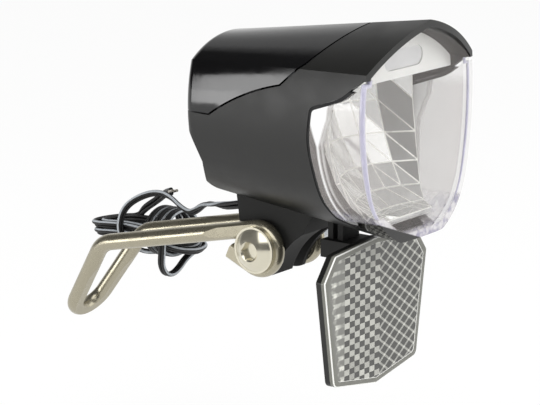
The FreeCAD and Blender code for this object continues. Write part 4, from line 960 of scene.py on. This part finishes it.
# %% Measure across the prism fields
SPLIT_X = 1.7
CHECK_W = 2.47
CHECK_H = 1.7
CHECK_COLUMNS = 7
DIAMOND_W = 5.0
DIAMOND_H = 3.4
LINE_SHARE = 0.15
LINE_LEVEL = 0.42


def in_millimetres(tree, scale_x, scale_z):
    """Object coordinates about the fields' common edge, in steps of so many millimetres."""
    place_of = add_node(tree, "ShaderNodeTexCoord").outputs["Object"]
    scale = (1000 / scale_x, 0, 1000 / scale_z)
    moved = (-(PIVOT.x + SPLIT_X * MM) * scale[0], 0.5, -PIVOT.z * scale[2])
    return add_node(tree, "ShaderNodeMapping",
                    {"Vector": place_of, "Location": moved, "Scale": scale}).outputs["Vector"]


def slanted_line(tree, split, sign):
    """A bright line along the edges of one set of slanted bands."""
    level = add_node(tree, MATH, [split.outputs["Z"], sign], operation="MULTIPLY")
    along = add_node(tree, MATH, [split.outputs["X"], level], operation="ADD")
    part = add_node(tree, MATH, [along], operation="FRACT")
    middle = add_node(tree, MATH, [part, 0.5], operation="SUBTRACT")
    from_middle = add_node(tree, MATH, [middle], operation="ABSOLUTE")
    return add_node(tree, RANGE, {"Value": from_middle, "From Min": 0.5 - LINE_SHARE,
                                  "From Max": 0.5 - LINE_SHARE * 0.5, "To Max": LINE_LEVEL})


print("chequers:", CHECK_W, "by", CHECK_H, "mm; diamonds:", DIAMOND_W, "by", DIAMOND_H, "mm")

# %% [markdown]
# Each prism is a corner of three faces. That is too fine to show from two thirds of a metre, so
# it is drawn as one light or dark cell, a painted reflection. A noise read once for each cell
# makes some flash, as painted highlights.

# %% Chequers and diamonds
CELL_DULL = 0.42
CELL_BRIGHT = 0.72

# Moulded acrylic: grey prisms under a glossy face, with their light and dark painted in as
# reflections, which give the plate its crisp pattern.
prisms, tree, shader = new_finish("moulded_prisms", "#8c8c84", 0.22, IOR=1.49, Coat_Weight=0.6,
                                  Coat_Roughness=0.03)
cells = in_millimetres(tree, CHECK_W, CHECK_H)
chequer = add_node(tree, "ShaderNodeTexChecker", {"Vector": cells, "Scale": 1.0})
step = add_node(tree, "ShaderNodeVectorMath", [cells], operation="FLOOR")
flash = add_node(tree, "ShaderNodeTexWhiteNoise", {"Vector": step})
painted_flash_level = add_node(tree, RANGE, {"Value": flash, "To Min": CELL_DULL, "To Max": CELL_BRIGHT})
chequered = add_node(tree, MATH, [chequer.outputs["Fac"], painted_flash_level], operation="MULTIPLY")
diamonds = add_node(tree, SPLIT, {"Vector": in_millimetres(tree, DIAMOND_W, DIAMOND_H)})
lines = add_node(tree, MATH, [slanted_line(tree, diamonds, 1.0),
                              slanted_line(tree, diamonds, -1.0)], operation="ADD")
field_x, _, field_z = add_node(tree, SPLIT,
                               {"Vector": in_millimetres(tree, 1.0, 1.0)}).outputs[:]
side = add_node(tree, MATH, [field_x, 0.0], operation="GREATER_THAN")
prism_level = add_node(tree, MIX, {0: side, 2: chequered, 3: lines})
print("chequered field:", round(CHECK_COLUMNS * CHECK_W, 2), "mm wide")

# %% [markdown]
# Left of the chequers a plain strip runs along the plate's side, which leans in towards its
# foot. Scallops are moulded into it, and they glint as a row of short bright marks, painted here
# as highlights in the colour. A cosine up the strip gives the scallops, and a cell pattern breaks
# each painted glint into facets.

# %% The strip's painted glints
SIDE_SLOPE = 0.156
SIDE_X = -25.4
SCALLOP_H = 3.1
SCALLOP_DEPTH = 0.7
GLINT_FROM = 1.9
GLINT_FADE = 1.0
GLINT_TO = 4.1
GLINT_END = 5.5
GLINT_REST = 0.45
GLINT_CREST = 0.7
GLINT_LOW = 0.35
GLINT_HIGH = 1.1
FACET_MM = 1.6
FACET_BRIGHT = 1.25
FACET_DULL = 0.6
STRIP_LEVEL = 0.2

wave = add_node(tree, MATH, [field_z, 2 * math.pi / SCALLOP_H], operation="MULTIPLY")
crest = add_node(tree, MATH, [wave], operation="COSINE")
scallop = add_node(tree, MATH, [crest, SCALLOP_DEPTH], operation="MULTIPLY")
slope = add_node(tree, MATH, [field_z, SIDE_SLOPE], operation="MULTIPLY")
draft = add_node(tree, MATH, [slope, 0.0], operation="MINIMUM")
straight = add_node(tree, MATH, [field_x, draft], operation="ADD")
from_side = add_node(tree, MATH, [straight, SPLIT_X - SIDE_X], operation="ADD")
reach = add_node(tree, MATH, [from_side, scallop], operation="SUBTRACT")
# Painted highlight: bright marks near the side, on the scallops' crests.
glint_x = add_node(tree, RANGE, {"Value": reach, "From Min": GLINT_FROM,
                                 "From Max": GLINT_FROM + GLINT_FADE})
glint_end = add_node(tree, RANGE, {"Value": reach, "From Min": GLINT_TO, "From Max": GLINT_END,
                                   "To Min": 1.0, "To Max": GLINT_REST})
glint_z = add_node(tree, RANGE, {"Value": crest, "From Max": GLINT_CREST, "To Min": GLINT_LOW,
                                 "To Max": GLINT_HIGH})
glint = add_node(tree, MATH, [glint_x, glint_z], operation="MULTIPLY")
ended = add_node(tree, MATH, [glint, glint_end], operation="MULTIPLY")
facet = add_node(tree, "ShaderNodeTexVoronoi",
                 {"Vector": add_node(tree, "ShaderNodeTexCoord").outputs["Object"],
                  "Scale": 1000.0 / FACET_MM})
facet_level = add_node(tree, RANGE, {"Value": facet, "From Min": 0.1, "From Max": 0.7,
                                     "To Min": FACET_BRIGHT, "To Max": FACET_DULL})
cut = add_node(tree, MATH, [ended, facet_level], operation="MULTIPLY")
strip = add_node(tree, MATH, [cut, STRIP_LEVEL], operation="MAXIMUM")
print("scallops every", SCALLOP_H, "mm")

# %% [markdown]
# The two patterns now meet in one level from dark to light, which sets both the colour and a
# slight relief. The plate's border and its bevelled edge are the same acrylic without prisms.

# %% The plate's finishes
RELIEF = 0.12
EDGE_FROM = -0.98
EDGE_TO = -0.1

in_field = add_node(tree, MATH, [field_x, -CHECK_COLUMNS * CHECK_W], operation="GREATER_THAN")
level = add_node(tree, MIX, {0: in_field, 2: strip, 3: prism_level})
shade = add_node(tree, MIX, {0: level, 6: linear("#2b2b26"), 7: linear("#d0d0c7")},
                 data_type="RGBA")
tree.links.new(shade.outputs[2], shader.inputs["Base Color"])
relief = add_node(tree, "ShaderNodeBump", {"Height": level, "Distance": RELIEF * MM,
                                           "Strength": 1.0})
tree.links.new(relief.outputs["Normal"], shader.inputs["Normal"])

# Flat acrylic in front of the black backing: a plain grey frame.
plate_clear = plain_finish("clear_plate_border", "#74746d", 0.12, (1.2, 0.01, 3.0, 0.08, 0.2),
                           IOR=1.49, Alpha=0.9)

# The bevelled edge of the acrylic, where light leaves it: a thin pale outline, painted in as a
# highlight.
plate_edge = plain_finish("clear_plate_edge", "#e4e4e0", 0.15, (1.2, 0.004, 3.0, 0.1, 0.22),
                          IOR=1.49)

for i, finish in enumerate((plate_clear, prisms, plate_edge)):
    plate.material_slots[i].material = finish
largest = max(plate.data.polygons, key=lambda face: face.area * (face.normal.y < FACES_FRONT))
for face in plate.data.polygons:
    face.material_index = 2 if EDGE_FROM < face.normal.y < EDGE_TO else 0
largest.material_index = 1
print("prism field:", round(largest.area * 1e6), "square mm; bright edge faces:",
      sum(face.material_index == 2 for face in plate.data.polygons))
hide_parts("retro_lens")
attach(plate, "lamp")

# %% [markdown]
# ## Finishes on the solids
#
# The solids that need no finer piece take their finish directly.

# %% Dress the solids
dressed = (
    (wire_nickel, "wire_bracket"),
    (bolt_chrome, "pivot_bolt"),
    (zinc_bright, "pivot_washer", "pivot_sleeve", "lock_nut", "cover_screw", "board_screws"),
    (ring_white, "lock_nut_ring"),
    (housing_black, "housing", "retro_holder"),
    (cover_black, "top_cover"),
    (lens_clear, "lens", "retro_lens"),
    (seal_black, "lens_seal", "cable_gland"),
    (bowl_mirror, "reflector"),
    (fascia_grey, "fascia"),
    (guide_clear, "light_guide"),
    (sink_alloy, "heat_sink", "led_board"),
    (led_yellow, "led"),
    (board_green, "driver_board"),
    (part_black, "led_leads", "choke", "rectifier", "controller_chip"),
    (sleeve_blue, "standlight_capacitor", "filter_capacitor"),
    (terminal_green, "cable_terminal"),
    (jacket, "cable_inner"),
    (tinned_wire, "cable_ends"),
)
for finish, *names in dressed:
    for name in names:
        solid = nodes[name]
        if not solid.material_slots:
            solid.data.materials.append(finish)
        for slot in solid.material_slots:
            slot.material = finish
print("finished solids:", sum(len(row) - 1 for row in dressed))

# %% [markdown]
# ## The studio
#
# The photograph has a plain white ground and even, soft light, with broad pale reflections on the
# gloss cover. A large pale floor lies below the part and keeps its faint shadow. Plain white
# paper would need strong lamps to look white, so this one glows for the rays that see it.

# %% Floor
FLOOR_BELOW = 0.045
FLOOR_SIZE = 6.0
SHADOW_SHARE = 0.12


def direct_rays(tree):
    """The kinds of ray, and a value of 1 for a ray from the camera, through glass or off gloss."""
    ray = add_node(tree, "ShaderNodeLightPath")
    clear = add_node(tree, MATH, [ray.outputs["Is Camera Ray"],
                                  ray.outputs["Is Transmission Ray"]], operation="MAXIMUM")
    direct = add_node(tree, MATH, [clear, ray.outputs["Is Glossy Ray"]], operation="MAXIMUM")
    return ray, direct


bpy.ops.object.select_all(action="DESELECT")
bpy.ops.mesh.primitive_plane_add(size=FLOOR_SIZE, location=(0, 0, cad_box[0][2] - FLOOR_BELOW))
floor = bpy.context.object
floor.name = "studio_floor"
# Matt white paper, mostly glowing, so that it looks even and keeps only a faint shadow.
paper, tree, shader = new_finish("white_paper", "#fcfcfb", 0.9)
direct = direct_rays(tree)[1]
share = add_node(tree, MATH, [direct, 1 - SHADOW_SHARE], operation="MULTIPLY")
glow = add_node(tree, "ShaderNodeEmission", {"Color": (1, 1, 1, 1), "Strength": 1.0})
mixed = add_node(tree, "ShaderNodeMixShader", {"Fac": share, 1: shader, 2: glow})
tree.links.new(mixed.outputs["Shader"], tree.nodes["Material Output"].inputs["Surface"])
floor.data.materials.append(paper)
print("floor at", round(floor.location.z, 4), "m")

# %% [markdown]
# The world is soft grey light, and the camera, glass and gloss find it white. Black gloss looks
# grey in a room that is white all round, so glossy rays also find a dark side, high on the
# camera's left, and a ceiling half as bright.

# %% World
SKY_FROM_Z = -0.1
SKY_TO_Z = 0.8
SKY_LOW = 0.3
SKY_HIGH = 0.75
DARK_SIDE = (-0.75, 0.2, 0.63)
DARK_FROM = 0.05
DARK_TO = 0.35
DARK_SHARE = 0.95
OVERHEAD_FROM_Z = 0.2
OVERHEAD_TO_Z = 0.5
OVERHEAD_DIM = 0.5

world = bpy.data.worlds.new("studio_world")
bpy.context.scene.world = world
world.use_nodes = True
tree = world.node_tree
tree.nodes.clear()
ray, direct = direct_rays(tree)
where = add_node(tree, "ShaderNodeTexCoord").outputs["Generated"]
facing_up = add_node(tree, SPLIT, {"Vector": where}).outputs["Z"]
sky = add_node(tree, RANGE, {"Value": facing_up, "From Min": SKY_FROM_Z, "From Max": SKY_TO_Z,
                             "To Min": SKY_LOW, "To Max": SKY_HIGH})
towards_room = add_node(tree, "ShaderNodeVectorMath", [where, DARK_SIDE], operation="DOT_PRODUCT")
room = add_node(tree, RANGE, {"Value": towards_room.outputs["Value"], "From Min": DARK_FROM,
                              "From Max": DARK_TO, "To Max": DARK_SHARE})
overhead = add_node(tree, RANGE, {"Value": facing_up, "From Min": OVERHEAD_FROM_Z,
                                  "From Max": OVERHEAD_TO_Z, "To Max": OVERHEAD_DIM})
unlit = add_node(tree, MATH, [room, overhead], operation="MAXIMUM")
dark = add_node(tree, MATH, [unlit, ray.outputs["Is Glossy Ray"]], operation="MULTIPLY")
kept = add_node(tree, MATH, [1.0, dark], operation="SUBTRACT")
even = add_node(tree, MATH, [sky, direct], operation="MAXIMUM")
strength = add_node(tree, MATH, [even, kept], operation="MULTIPLY")
light = add_node(tree, "ShaderNodeBackground", {"Color": (1, 1, 1, 1), "Strength": strength})
add_node(tree, "ShaderNodeOutputWorld", {"Surface": light})
print("world:", len(tree.nodes), "nodes")

# %% [markdown]
# Three large lamps give highlights with soft edges. The key hangs above on the camera's side, a
# small one stands low beside the bracket, and the widest lights the lens and the bowl.

# %% Lamps
def add_softbox(name, location, size, watts):
    """A soft rectangular lamp that faces the pivot bolt."""
    bpy.ops.object.light_add(type="AREA", location=PIVOT + Vector(location))
    lamp = bpy.context.object
    lamp.name = name
    lamp.data.shape = "RECTANGLE"
    lamp.data.size, lamp.data.size_y = size
    lamp.data.energy = watts
    lamp.rotation_euler = (Vector(location) * -1).to_track_quat("-Z", "Y").to_euler()


add_softbox("key_softbox", (-0.45, -0.35, 0.75), (1.0, 0.8), 6.5)
add_softbox("side_softbox", (-0.72, 0.52, -0.01), (0.5, 0.3), 2.4)
add_softbox("front_softbox", (0.35, -0.85, 0.3), (1.0, 1.0), 4.0)
